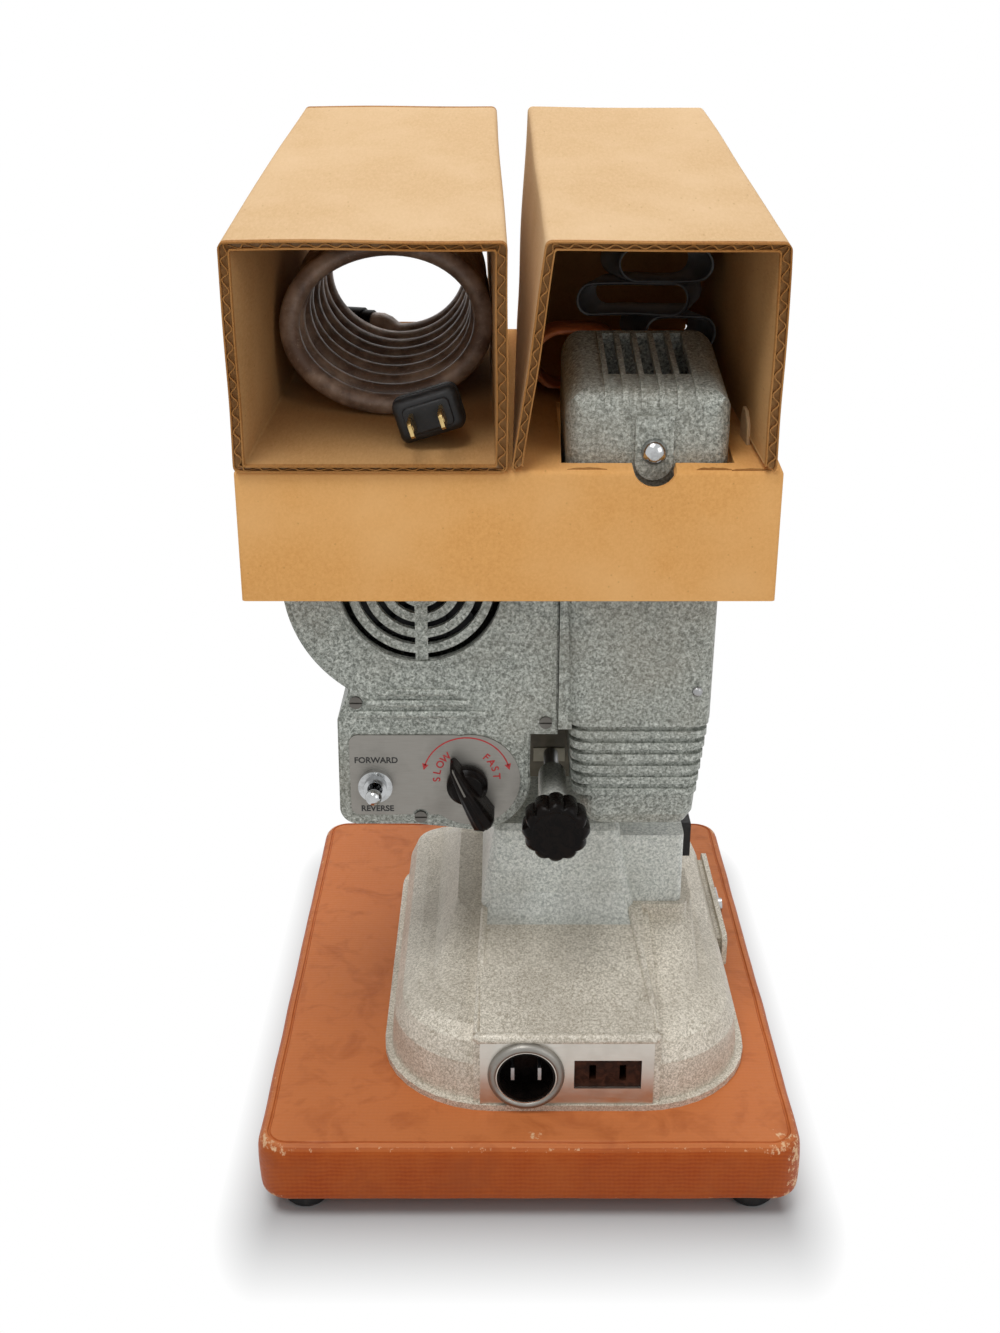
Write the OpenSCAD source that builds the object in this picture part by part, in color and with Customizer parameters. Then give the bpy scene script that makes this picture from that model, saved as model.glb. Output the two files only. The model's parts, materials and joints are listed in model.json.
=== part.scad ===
// Small film projector on its carrying-case base, with a cardboard accessory insert over its head.
// X runs to the right as seen from behind the projector, Y towards the screen, Z up.
// The origin is on the ground under the middle of the case base.

/* [Case base] */
// Width of the case base
board_w = 240; // [230:1:260]
// Depth of the case base
board_d = 304; // [296:1:330]
// Thickness of the case base
board_t = 28; // [22:1:34]
// Corner radius of the case base in plan
board_r = 14; // [10:1:20]
// Radius along the top edge of the case base
board_edge = 7; // [3:0.5:9]
// Height of the rubber feet
foot_h = 10; // [6:0.5:14]
// Diameter of the rubber feet
foot_d = 21; // [16:1:26]
// Distance of the feet from the long edges
foot_in_x = 20; // [16:1:30]
// Distance of the feet from the short edges
foot_in_y = 17; // [16:1:30]

/* [Base casting] */
// Left edge of the base casting's lip
base_x0 = -68; // [-74:1:-64]
// Right edge of the base casting's lip
base_x1 = 103; // [99:1:108]
// Rear edge of the base casting's lip
base_y0 = -126; // [-130:1:-122]
// Front edge of the base casting's lip
base_y1 = 96; // [90:1:97]
// Rear corner radius of the base casting
base_rr = 52; // [40:1:56]
// Front corner radius of the base casting
base_rf = 26; // [18:1:36]
// Height of the wall of the base casting
base_h = 34; // [32:1:38]
// Wall thickness of the base casting
base_wall = 3.5; // [3:0.25:5]
// Height of the seat for the pedestal above the board
seat_h = 58.5; // [56:0.5:62]
// Rear edge of the pedestal seat
seat_y0 = -48; // [-52:1:-44]
// Front edge of the pedestal seat
seat_y1 = 60; // [50:1:66]

/* [Pedestal and tilt] */
// Height of the pedestal
ped_h = 43; // [41:0.5:44]
// Height of the tilt hinge above the pedestal's top
hinge_up = 8; // [7.5:0.25:8.5]
// Place of the tilt hinge along Y
hinge_y = 20; // [16:1:24]
// Radius of the tilt hinge pin
hinge_r = 4; // [3:0.25:5]
// Radius of the hinge ears
ear_r = 10; // [8:0.5:11]
// Radius of the tilt knob
tilt_knob_r = 15; // [13:0.5:16]
// Length of the tilt knob
tilt_knob_l = 14; // [12:1:16]
// Radius of the tilt screw
tilt_screw_r = 3.5; // [3:0.25:4]

/* [Head] */
// Height of the drive housing's floor above the pedestal
head_up = 20.5; // [20:0.5:21.5]
// Height of the drive housing
head_h = 152; // [146:1:156]
// Rear face of the motor cover
cover_y0 = -76; // [-78:0.5:-74]
// Joint between motor cover and drive housing
split_y = -10; // [-12:0.5:-9]
// Front face of the drive housing
head_y1 = 92; // [88:1:93]
// Wall of the head's castings
head_wall = 3; // [2.5:0.25:3.5]
// Left face of the drive housing
drive_x0 = -62; // [-66:1:-60]
// Right face of the drive housing, which carries the film path
drive_x1 = 12.3; // [11:0.1:12.5]
// Radius of the motor lobe of the cover
lobe_r = 59; // [56:0.5:60]
// Width of a slot in the motor grille
grille_slot = 3.2; // [2.4:0.1:3.4]
// Distance between rings of the motor grille
grille_pitch = 7; // [6.5:0.1:7.4]
// Width of the web across the motor grille
grille_web = 5.4; // [4:0.2:8]

/* [Controls] */
// Radius of the speed knob's skirt
speed_r = 11; // [9:0.5:13]
// Height of the speed knob
speed_h = 17; // [14:0.5:20]
// Radius of the nut round the toggle
toggle_nut_r = 7.6; // [6.5:0.1:8.5]

/* [Lamp house] */
// Left side of the lamp house at its top
lamp_x0 = 13.5; // [13:0.25:15]
// Right side of the lamp house at its top
lamp_x1 = 80.5; // [78:0.25:84]
// Rear face of the lamp house
lamp_y0 = -80; // [-81:0.5:-79]
// Height of the lamp house's underside above the pedestal
lamp_up = 16.5; // [16:0.5:18.5]
// Height of the lamp house up to its cap
lamp_h = 183.5; // [182:0.5:185]
// Height of the lamp-house cap
cap_h = 26.5; // [24:0.5:30]
// Radius over the back of the cap
cap_round = 9; // [7:0.5:11]
// Slope of the cap's top in degrees
cap_slope = 11.5; // [8:0.5:14]
// Number of fins on the cap
cap_fins = 6; // [4:1:7]
// Number of ribs round the lamp house
rib_count = 7; // [4:1:7]
// Distance between the ribs
rib_pitch = 5.7; // [5:0.1:6]

/* [Optics and film path] */
// Place of the optical axis across the head
axis_x = 47; // [45:0.5:49]
// Height of the optical axis above the pedestal
axis_up = 95.5; // [94.5:0.5:96.5]
// Radius of the lens barrel
lens_r = 15; // [13:0.5:16]
// Length of the lens barrel
lens_l = 88; // [80:1:92]
// Number of teeth on each worm wheel
wheel_teeth = 32; // [32]
// Module of the worm wheels
wheel_module = 2; // [2]
// Pitch radius of the worm
worm_r = 6; // [5.5:0.25:7]
// Radius of the film sprockets
sprocket_r = 8; // [7:0.25:9]
// Width of the film between the sprocket's flanges
film_w = 8; // [8:0.25:9.5]

/* [Reel arms] */
// Length of the supply arm between its centres
supply_l = 137; // [120:1:140]
// Length of the take-up arm between its centres
takeup_l = 118; // [100:1:122]
// Thickness of the reel arms
arm_t = 7; // [5:0.5:8]
// Radius of the reel spindles
spindle_r = 3.95; // [3.9:0.05:4]
// Length of the reel spindles
spindle_l = 24; // [20:1:28]

/* [Accessory insert] */
// Left side of the insert tray
tray_x0 = -120; // [-120:0.5:-118]
// Right side of the insert tray
tray_x1 = 101; // [99:0.5:104]
// Near face of the insert tray
tray_y0 = -90; // [-92:0.5:-89.5]
// Far face of the insert tray
tray_y1 = 98.5; // [98:0.5:99]
// Height of the insert tray's lower edge above the pedestal
tray_up = 128.5; // [127.5:0.5:130]
// Height of the tray's near face
tray_h = 55; // [54:0.5:58]
// Rise of the tray's top towards the screen
tray_rise = 26; // [22:1:30]
// Thickness of the cardboard
card_t = 2.7; // [2:0.1:3]
// Height of the tubes at their near end
tube_h = 89; // [86:1:94]
// Height of the tubes at their far end
tube_far_h = 106; // [100:1:110]
// Diameter of the supply cord
cord_d = 9; // [8:0.25:9.5]
// Loops of the supply cord
cord_loops = 8; // [6:1:8]

/* [Hidden] */
$fn = 48;
eps = 0.01;
fit = 0.05;
gap = 0.3;
board_z = foot_h + board_t;
seat_z = board_z + seat_h;
ped_z = seat_z + ped_h;
hinge_z = ped_z + hinge_up;
head_z0 = ped_z + head_up;
head_z1 = head_z0 + head_h;
lamp_z0 = ped_z + lamp_up;
lamp_z1 = lamp_z0 + lamp_h;
axis_z = ped_z + axis_up;
tray_z0 = ped_z + tray_up;
tray_z1 = tray_z0 + tray_h;
tray_slope = tray_rise / (tray_y1 - tray_y0);
function top_z(y) = tray_z1 + tray_slope * (y - tray_y0);
steel = "#b9bcbf";
enamel = "#a9adac";
bakelite = "#241c1a";
card = "#c49a63";
chrome = "#d9dcde";
brass = "#c8a45a";

// Flat shapes and solids that several pieces share

module round_rect(w, d, r) {
    square([w - 2 * r, d], center = true);
    square([w, d - 2 * r], center = true);
    for (x = [-1, 1], y = [-1, 1]) translate([x * (w / 2 - r), y * (d / 2 - r)]) circle(r);
}

// A rounded bar between two corners in plan
module round_bar(x0, x1, y0, y1, r, h) {
    translate([(x0 + x1) / 2, (y0 + y1) / 2, 0]) linear_extrude(h) round_rect(x1 - x0, y1 - y0, r);
}

// Extrudes a flat shape drawn in X and Z from y0 to y1
module along_y(y0, y1) {
    translate([0, y1, 0]) rotate([90, 0, 0]) linear_extrude(y1 - y0) children();
}

// Extrudes a flat shape drawn in Y and Z from x0 to x1
module along_x(x0, x1) {
    translate([x0, 0, 0]) rotate([90, 0, 90]) linear_extrude(x1 - x0) children();
}

module rod_y(x, z, y0, y1, r) {
    translate([x, y1, z]) rotate([90, 0, 0]) cylinder(h = y1 - y0, r = r);
}

module rod_x(y, z, x0, x1, r) {
    translate([x0, y, z]) rotate([0, 90, 0]) cylinder(h = x1 - x0, r = r);
}

// Case base and feet

bolt_x = [base_x0 + 30, base_x1 - 30];
bolt_y = [base_y0 + 50, base_y1 - 30];
bolt_r = 3;
bolt_head_r = 6;
bolt_head_h = 3;

module case_base() {
    color("#b5572c") difference() {
        hull() for (x = [-1, 1], y = [-1, 1])
            translate([x * (board_w / 2 - board_r), y * (board_d / 2 - board_r), foot_h]) {
                cylinder(r = board_r, h = board_t - board_edge, $fn = 32);
                for (a = [30, 60, 90]) translate([0, 0, board_t - board_edge])
                    cylinder(r = board_r - board_edge * (1 - cos(a)), h = board_edge * sin(a), $fn = 32);
            }
        for (x = bolt_x, y = bolt_y) translate([x, y, foot_h - 1]) {
            cylinder(r = bolt_r + fit, h = board_t + 2);
            cylinder(r = bolt_head_r + 1, h = bolt_head_h + 2);
        }
    }
}

module rubber_feet() {
    color("#1c1c1c") for (x = [-1, 1], y = [-1, 1])
        translate([x * (board_w / 2 - foot_in_x), y * (board_d / 2 - foot_in_y), 0]) {
            cylinder(r1 = foot_d / 2 - 1.5, r2 = foot_d / 2, h = 2);
            translate([0, 0, 2]) cylinder(r = foot_d / 2, h = foot_h - 2);
        }
    color("#1c1c1c") along_x(block_x, block_x + 8) translate([0, seat_z + 14]) round_rect(14, 19, 2);
}

// Base casting with its socket plate and side cover

function corner(x, y, r, a0) = [for (i = [0:9]) [x + r * cos(a0 + 10 * i), y + r * sin(a0 + 10 * i)]];

module base_outline(inset) {
    rear = base_rr - inset;
    front = max(base_rf - inset, 2);
    polygon(concat(
        corner(base_x0 + inset + rear, base_y0 + inset + rear, rear, 180),
        corner(base_x1 - inset - rear, base_y0 + inset + rear, rear, 270),
        corner(base_x1 - inset - front, base_y1 - inset - front, front, 0),
        corner(base_x0 + inset + front, base_y1 - inset - front, front, 90)));
}

lip_h = 3;
lip_w = 3;
spine_x0 = -22;
spine_x1 = 55.5;
spine_z = board_z + 39;
spine_y0 = base_y0 + lip_w - 0.5;
socket_z = board_z + 19;
dome_drop = 7;
block_x = 75;

module base_form(inset, drop) {
    hull() {
        translate([0, 0, board_z]) linear_extrude(eps) base_outline(inset);
        translate([0, 0, board_z + base_h * 0.62 - drop]) linear_extrude(eps) base_outline(inset + 2);
        translate([0, 0, board_z + base_h * 0.88 - drop]) linear_extrude(eps) base_outline(inset + 6);
        translate([0, 0, board_z + base_h - drop]) linear_extrude(eps) base_outline(inset + 13);
        translate([0, 0, board_z + base_h + 2 - drop]) linear_extrude(eps) base_outline(inset + 22);
    }
}

module spine_side(lower) {
    polygon([[spine_y0, board_z + lip_h], [spine_y0, spine_z - lower], [seat_y0 - lower, seat_z - lower],
        [seat_y1 + lower, seat_z - lower], [base_y1 - 14, board_z + base_h]]);
}

side_x = base_x1 - 6;
side_y0 = -20;
side_y1 = base_y1 - base_rf;
side_z0 = board_z + 6;
side_z1 = board_z + 24;

module base_casting() {
    color(enamel) difference() {
        union() {
            difference() {
                union() {
                    translate([0, 0, board_z]) linear_extrude(lip_h) base_outline(0);
                    base_form(lip_w, 0);
                    along_x(spine_x0 - 3, spine_x1 + 3) spine_side(3);
                    along_x(spine_x0, spine_x1) spine_side(0);
                    hull() {
                        translate([0, 0, board_z + base_h]) linear_extrude(eps) base_outline(22);
                        translate([0, 0, seat_z - dome_drop]) round_bar(spine_x0 - 12, 82, seat_y0 + 4, seat_y1, 20, eps);
                    }
                    translate([0, 0, board_z + base_h]) round_bar(spine_x1 - 15, block_x + 3, seat_y0 + 3, seat_y1 - 8, 5, seat_h - base_h);
                }
                translate([0, 0, -eps]) base_form(lip_w + base_wall, base_wall + 1);
            }
            for (x = bolt_x, y = bolt_y) translate([x, y, board_z + 2.2]) cylinder(r = bolt_r + 4, h = base_h - 5);
        }
        rod_y(inlet_x, socket_z, spine_y0 - 1, spine_y0 + 12, inlet_r + 1.4);
        translate([outlet_x - outlet_w / 2 - 1.4, spine_y0 - 1, socket_z - outlet_h / 2 - 1.4])
            cube([outlet_w + 2.8, 14, outlet_h + 2.8]);
        translate([side_x - 12, side_y0 + 4, side_z0 + 3]) cube([30, side_y1 - side_y0 - 8, side_z1 - side_z0 - 6]);
        for (x = bolt_x, y = bolt_y) translate([x, y, board_z - 1]) cylinder(r = bolt_r + fit, h = 17);
    }
}

module base_plate() {
    color(steel) translate([0, 0, board_z]) linear_extrude(2) difference() {
        base_outline(lip_w + base_wall + 1);
        for (x = bolt_x, y = bolt_y) translate([x, y]) circle(bolt_r + fit);
    }
}

module base_bolts() {
    seat = foot_h + bolt_head_h + 1;
    color(steel) for (x = bolt_x, y = bolt_y) translate([x, y, seat - bolt_head_h]) {
        cylinder(r = bolt_head_r, h = bolt_head_h);
        cylinder(r = bolt_r, h = board_z + 14 - seat + bolt_head_h);
    }
}

inlet_x = -1.4;
inlet_r = 12;
outlet_x = 35;
outlet_w = 30;
outlet_h = 15;
plate_t = 1.5;
plate_y = spine_y0 - plate_t;

module socket_plate() {
    color(steel) difference() {
        union() {
            along_y(plate_y, spine_y0) translate([spine_x0, board_z + lip_h + 0.2])
                square([spine_x1 - spine_x0, spine_z - board_z - lip_h - 2]);
            rod_y(inlet_x, socket_z, plate_y - 2.5, plate_y + eps, inlet_r + 3.6);
        }
        rod_y(inlet_x, socket_z, plate_y - 5, spine_y0 + 1, inlet_r + 1.1);
        along_y(plate_y - 1, spine_y0 + 1) translate([outlet_x - outlet_w / 2, socket_z - outlet_h / 2])
            square([outlet_w, outlet_h]);
    }
}

module inlet_cup() {
    color(bakelite) difference() {
        rod_y(inlet_x, socket_z, plate_y - 2, spine_y0 + 11, inlet_r + 1);
        rod_y(inlet_x, socket_z, plate_y - 3, spine_y0 + 9, inlet_r);
        for (x = [-6, 6]) translate([inlet_x + x, spine_y0 + 10, socket_z]) cube([1.6, 4, 6.6], center = true);
    }
}

module inlet_pins() {
    color(brass) for (x = [-6, 6]) along_y(spine_y0 - 1, spine_y0 + 11)
        translate([inlet_x + x - 0.75, socket_z - 3.2]) square([1.5, 6.4]);
}

module outlet_body() {
    color(bakelite) difference() {
        along_y(spine_y0 + 0.1, spine_y0 + 12) translate([outlet_x - outlet_w / 2 - 1, socket_z - outlet_h / 2 - 1])
            square([outlet_w + 2, outlet_h + 2]);
        for (x = [-6.7, 6.8]) translate([outlet_x + x, spine_y0 + 4, socket_z]) cube([3, 12, 8], center = true);
    }
}

cover_x = base_x1 - lip_w + gap;

module side_cover() {
    color(enamel) {
        along_x(cover_x, cover_x + 2.5) translate([(side_y0 + side_y1) / 2, (side_z0 + side_z1) / 2])
            round_rect(side_y1 - side_y0, side_z1 - side_z0, 4);
        translate([side_x - 8, side_y0 + 4.4, side_z0 + 3.4])
            cube([cover_x - side_x + 8 + eps, side_y1 - side_y0 - 8.8, side_z1 - side_z0 - 6.8]);
    }
}

catch_y = 26;

module side_cover_catch() {
    zc = (side_z0 + side_z1) / 2;
    color(chrome) {
        rod_x(catch_y, zc, cover_x + 2.6, cover_x + 6, 4);
        along_x(cover_x + 2.9, cover_x + 4.9) translate([catch_y + 6, zc]) round_rect(20, 6, 2.5);
    }
}

// Pedestal with the tilt hinge and the tilt screw

ear_x = [[-8, 4], [26, 38]];
tilt_x = 11.5;
tilt_z = ped_z + 24.5;
lug_r = 6.4;
lug_y0 = seat_y0 - 24;
lug_y1 = seat_y0 + 8;

module pedestal() {
    color("#9aa1a6") difference() {
        union() {
            hull() {
                translate([0, 0, seat_z]) round_bar(spine_x0, 51.5, seat_y0, seat_y1, 5, 1);
                translate([0, 0, ped_z - 3]) round_bar(-16, 44, seat_y0 + 3, seat_y1 - 16, 5, eps);
                translate([0, 0, ped_z - eps]) round_bar(-14, 42, seat_y0 + 5, seat_y1 - 18, 5, eps);
            }
            translate([0, 0, seat_z]) round_bar(40, block_x, seat_y0 + 6, seat_y1 - 20, 3, ped_h - 7);
            for (x = ear_x) {
                along_x(x[0], x[1]) translate([hinge_y - ear_r, ped_z - 4]) square([2 * ear_r, hinge_up + 4]);
                rod_x(hinge_y, hinge_z, x[0], x[1], ear_r);
            }
            rod_y(tilt_x, tilt_z, lug_y0, lug_y1, lug_r);
            along_y(lug_y1 - 12, lug_y1) translate([tilt_x - lug_r, ped_z - 10]) square([2 * lug_r, tilt_z - ped_z + 10]);
        }
        rod_x(hinge_y, hinge_z, -20, 50, hinge_r + 0.01);
        rod_y(tilt_x, tilt_z, lug_y0 - 1, lug_y1 + 1, tilt_screw_r + fit);
    }
}

module hinge_pin() {
    color(steel) {
        rod_x(hinge_y, hinge_z, ear_x[0][0], ear_x[1][1] + 1, hinge_r);
        rod_x(hinge_y, hinge_z, ear_x[1][1], ear_x[1][1] + 2.5, hinge_r + 2);
    }
}

knob_y1 = lug_y0 - 14;
knob_y0 = knob_y1 - tilt_knob_l;

module tilt_knob() {
    color(bakelite) difference() {
        union() {
            rod_y(tilt_x, tilt_z, knob_y0 + 2, knob_y1, tilt_knob_r);
            rod_y(tilt_x, tilt_z, knob_y0, knob_y0 + 3, tilt_knob_r - 3);
            rod_y(tilt_x, tilt_z, knob_y1 - eps, knob_y1 + 12, 6.5);
        }
        for (a = [0:30:330]) rod_y(tilt_x + (tilt_knob_r + 1.6) * cos(a), tilt_z + (tilt_knob_r + 1.6) * sin(a),
            knob_y0 - 1, knob_y1 + 1, 3.2);
        rod_y(tilt_x, tilt_z, knob_y1 - 6, knob_y1 + 13, tilt_screw_r + 0.01);
    }
}

module tilt_screw() {
    color(steel) rod_y(tilt_x, tilt_z, knob_y1 - 6, lug_y1 + 22, tilt_screw_r);
}

// Drive housing and its covers

lobe = [-46.6, axis_z + 35.8];
control_disc = [-24.5, axis_z - 57.4];
cover_foot = [-77, axis_z - 71.5];
recess_z = axis_z - 43;
control_r = 25;
main_x = -2;
worm_y = 38;
wheel_r = wheel_teeth * wheel_module / 2;
wheel_up = wheel_r + worm_r;
shutter_r = axis_x - main_x + 4;
shutter_y = split_y + 8;

cover_top = top_z(cover_y0) - card_t - gap;

module head_outline() {
    intersection() {
        union() {
            translate(lobe) circle(lobe_r, $fn = 72);
            translate(control_disc) circle(control_r);
            translate(cover_foot) circle(8);
            polygon([cover_foot + [-8, 0], cover_foot + [0, -8], [-50, cover_foot[1] - 8], control_disc + [0, -control_r],
                control_disc + [control_r - 0.5, -6], [control_disc[0] + control_r, recess_z + 8], [drive_x1, recess_z + 8],
                [drive_x1, cover_top], [-60, cover_top], [-79.6, axis_z - 16], [-84.5, axis_z - 28]]);
        }
        translate([-110, axis_z - 95]) square([110 + drive_x1, cover_top - axis_z + 95]);
    }
}

module housing_side(inset) {
    translate([split_y + inset, head_z0 + inset])
        square([head_y1 - split_y - 18 - inset, head_z1 - head_z0 - 2 * inset]);
    translate([head_y1 - 30, head_z0 + 18]) square([30 - inset, head_z1 - head_z0 - 36]);
    for (z = [head_z0 + 18, head_z1 - 18]) translate([head_y1 - 18, z]) circle(18 - inset);
}

module drive_housing() {
    color(enamel) difference() {
        union() {
            along_y(split_y, split_y + head_wall) head_outline();
            along_x(drive_x0, drive_x1) housing_side(0);
            along_y(split_y, split_y + head_wall) translate([0, head_z0 - 4]) square([21, recess_z - head_z0 + 10]);
            along_y(lamp_y1, split_y + head_wall) translate([drive_x1 + 1, axis_z - 50]) square([53, 100]);
            along_y(split_y, split_y + head_wall) translate([drive_x1 - 2, axis_z - 50]) square([4, 100]);
            along_x(5, 25) translate([hinge_y - ear_r, hinge_z]) square([2 * ear_r, head_z0 - hinge_z + eps]);
            along_x(drive_x1 - eps, 25) translate([hinge_y - ear_r, head_z0 - 4]) square([2 * ear_r, 8]);
            rod_x(hinge_y, hinge_z, 5, 25, hinge_up - 0.5);
            rod_y(lobe[0], lobe[1], split_y + head_wall - eps, split_y + 7, 9);
            rod_y(main_x, axis_z, head_y1 - 8, head_y1 - head_wall + eps, 8);
        }
        difference() {
            along_x(drive_x0 - 1, drive_x1 - head_wall) housing_side(head_wall);
            rod_y(lobe[0], lobe[1], split_y, split_y + 7, 9);
            rod_y(main_x, axis_z, head_y1 - 8, head_y1, 8);
        }
        rod_y(axis_x, axis_z, lamp_y1 - 1, split_y + head_wall + 1, hood_r + 0.1);
        rod_x(hinge_y, hinge_z, 4, 26, hinge_r + fit);
        rod_y(lobe[0], lobe[1], split_y - 1, split_y + 12, shaft_r + fit);
        rod_y(main_x, axis_z, head_y1 - 10, head_y1 - 1.5, shaft_r + fit);
        for (s = [-1, 1]) rod_x(worm_y, axis_z + s * wheel_up, 0, drive_x1 + 1, sprocket_shaft_r + fit);
        along_x(drive_x1 - head_wall - 1, drive_x1 + 1)
            translate([shutter_y - 1.6, axis_z - shutter_r - 2]) square([4.4, 2 * shutter_r + 4]);
    }
}

module drive_cover() {
    color(enamel) difference() {
        along_x(drive_x0 - 2.5, drive_x0) housing_side(0);
        along_y(split_y - 1, split_y + head_wall + 0.1) translate([-80, 100]) square([100, 260]);
    }
}

toggle_x = -68.2;
toggle_z = axis_z - 57.8;
speed_x = -27.5;
speed_z = axis_z - 57.4;
screw_at = [[-75.8, axis_z - 18.5], [7, axis_z - 28], [-48.5, axis_z - 74.2]];

module grille_slots() {
    for (i = [0:3]) {
        r = 12 + grille_pitch * i;
        difference() {
            rod_y(lobe[0], lobe[1], cover_y0 - 3, cover_y0 + 6, r + grille_slot / 2);
            rod_y(lobe[0], lobe[1], cover_y0 - 4, cover_y0 + 7, r - grille_slot / 2);
            translate([lobe[0] - grille_web / 2, cover_y0 - 5, lobe[1] - 40]) cube([grille_web, 13, 80]);
        }
    }
}

module motor_cover() {
    color(enamel) difference() {
        union() {
            along_y(cover_y0 + 2.6, split_y) head_outline();
            along_y(cover_y0 + 0.9, cover_y0 + 2.7) offset(r = -0.9) head_outline();
            along_y(cover_y0, cover_y0 + 1) offset(r = -2.8) head_outline();
            difference() {
                rod_y(lobe[0], lobe[1], cover_y0 - 1.2, cover_y0 + 1, 37.2);
                rod_y(lobe[0], lobe[1], cover_y0 - 2, cover_y0, 34.8);
            }
            for (i = [0:2]) hull() for (x = [-65.5 - 5 * i, -32 + 6.5 * i])
                translate([x, cover_y0, axis_z - 13.8 - 5.2 * i]) sphere(1.8, $fn = 16);
        }
        difference() {
            along_y(cover_y0 + head_wall, split_y + 1) offset(r = -head_wall) head_outline();
            for (s = screw_at) rod_y(s[0], s[1], cover_y0, split_y, 4.5);
        }
        grille_slots();
        rod_y(toggle_x, toggle_z, cover_y0 - 1, cover_y0 + 5, 5.2);
        rod_y(speed_x, speed_z, cover_y0 - 1, cover_y0 + 5, 3.4);
        for (s = screw_at) rod_y(s[0], s[1], cover_y0 - 1, cover_y0 + 12, 1.6);
    }
}

module cover_screws() {
    color(chrome) for (s = screw_at) {
        rod_y(s[0], s[1], cover_y0 + 0.1, cover_y0 + 10, 1.5);
        difference() {
            rod_y(s[0], s[1], cover_y0 - 1.4, cover_y0, 2.8);
            translate([s[0] - 4, cover_y0 - 2, s[1] - 0.4]) cube([8, 1.4, 0.8]);
        }
    }
}

module control_plate() {
    color(steel) along_y(cover_y0 - 1, cover_y0) difference() {
        union() {
            translate([-54, axis_z - 53.5]) round_rect(51, 39, 4);
            translate([speed_x + 1.5, speed_z + 1.5]) circle(22);
        }
        translate([toggle_x, toggle_z]) circle(5.2);
        translate([speed_x, speed_z]) circle(3.4);
        translate([screw_at[2][0], screw_at[2][1]]) circle(4);
    }
}

module toggle_bush() {
    color(chrome) difference() {
        union() {
            rod_y(toggle_x, toggle_z, cover_y0 - 4.5, cover_y0 - 1, toggle_nut_r);
            rod_y(toggle_x, toggle_z, cover_y0 - 6.5, cover_y0 + 12, 5);
            rod_y(toggle_x, toggle_z, cover_y0 + 3, cover_y0 + 24, 9);
        }
        rod_y(toggle_x, toggle_z, cover_y0 - 8, cover_y0 + 4, 3.4);
    }
}

module toggle_lever() {
    color(chrome) {
        translate([toggle_x, cover_y0, toggle_z]) sphere(2.8);
        rod_x(cover_y0, toggle_z, toggle_x - 3.3, toggle_x + 3.3, 1);
        rod_y(toggle_x, toggle_z, cover_y0 - 14, cover_y0, 1.6);
        translate([toggle_x, cover_y0 - 14, toggle_z]) sphere(3.6);
    }
}

module speed_knob() {
    color(bakelite) {
        rod_y(speed_x, speed_z, cover_y0 - 6, cover_y0 - 1.3, speed_r);
        rod_y(speed_x, speed_z, cover_y0 - 9, cover_y0 - 5, speed_r - 2.5);
        translate([speed_x, cover_y0 - speed_h / 2 - 1.3, speed_z]) rotate([0, -28, 0]) hull() {
            translate([0, 0, 6]) cube([3, speed_h, 16], center = true);
            translate([0, 0, -8]) cube([11, speed_h, 20], center = true);
        }
    }
    color(steel) rod_y(speed_x, speed_z, cover_y0 - 5, cover_y0 + 12.5, 3);
}

module rheostat() {
    color(bakelite) difference() {
        rod_y(speed_x, speed_z, cover_y0 + head_wall, cover_y0 + 13, 15);
        rod_y(speed_x, speed_z, cover_y0, cover_y0 + 14, 3.1);
    }
}

// Motor, fan and drive

shaft_r = 3;
sprocket_shaft_r = 3;
motor_y0 = cover_y0 + 24;
pulley_y = 63;
motor_pulley_r = 4.6;
main_pulley_r = 9.2;

module motor() {
    color("#3c3f42") difference() {
        union() {
            rod_y(lobe[0], lobe[1], motor_y0, split_y, 34);
            rod_y(lobe[0], lobe[1], motor_y0 - 5, motor_y0, 12);
        }
        for (a = [45:90:315]) rod_y(lobe[0] + 36 * cos(a), lobe[1] + 36 * sin(a), motor_y0 - 1, split_y + 1, 7);
        rod_y(lobe[0], lobe[1], motor_y0 - 6, split_y + 1, shaft_r + fit);
    }
}

module motor_shaft() {
    color(steel) rod_y(lobe[0], lobe[1], cover_y0 + 5, pulley_y + 6, shaft_r);
}

module fan() {
    y0 = cover_y0 + 6;
    color("#8d9194") difference() {
        union() {
            rod_y(lobe[0], lobe[1], y0, y0 + 11, 8);
            rod_y(lobe[0], lobe[1], y0 + 9.5, y0 + 11, 31);
            for (a = [0:30:330]) translate([lobe[0], y0 + 5, lobe[1]]) rotate([0, a, 0]) translate([19, 0, 0])
                rotate([0, 25, 0]) cube([24, 9.2, 1.2], center = true);
        }
        rod_y(lobe[0], lobe[1], y0 - 1, y0 + 12, shaft_r + 0.01);
    }
}

module pulley(x, z, y0, y1, r, bore) {
    difference() {
        union() {
            rod_y(x, z, y0, y1, r - 1.5);
            rod_y(x, z, y0, y0 + 1.5, r + 1);
            rod_y(x, z, y1 - 1.5, y1, r + 1);
        }
        rod_y(x, z, y0 - 1, y1 + 1, bore);
    }
}

module motor_pulley() {
    color(brass) pulley(lobe[0], lobe[1], pulley_y - 3.6, pulley_y + 3.6, motor_pulley_r, shaft_r + 0.01);
}

module belt_loop(extra) {
    hull() {
        translate(lobe) circle(motor_pulley_r + extra, $fn = 24);
        translate([main_x, axis_z]) circle(main_pulley_r + extra, $fn = 32);
    }
}

module drive_belt() {
    color("#222222") along_y(pulley_y - 1.5, pulley_y + 1.5) difference() {
        belt_loop(1.6);
        belt_loop(-1.2);
    }
}

worm_wave = 1.6;
worm_l = 18;
worm_pitch = wheel_module * PI;

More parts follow.
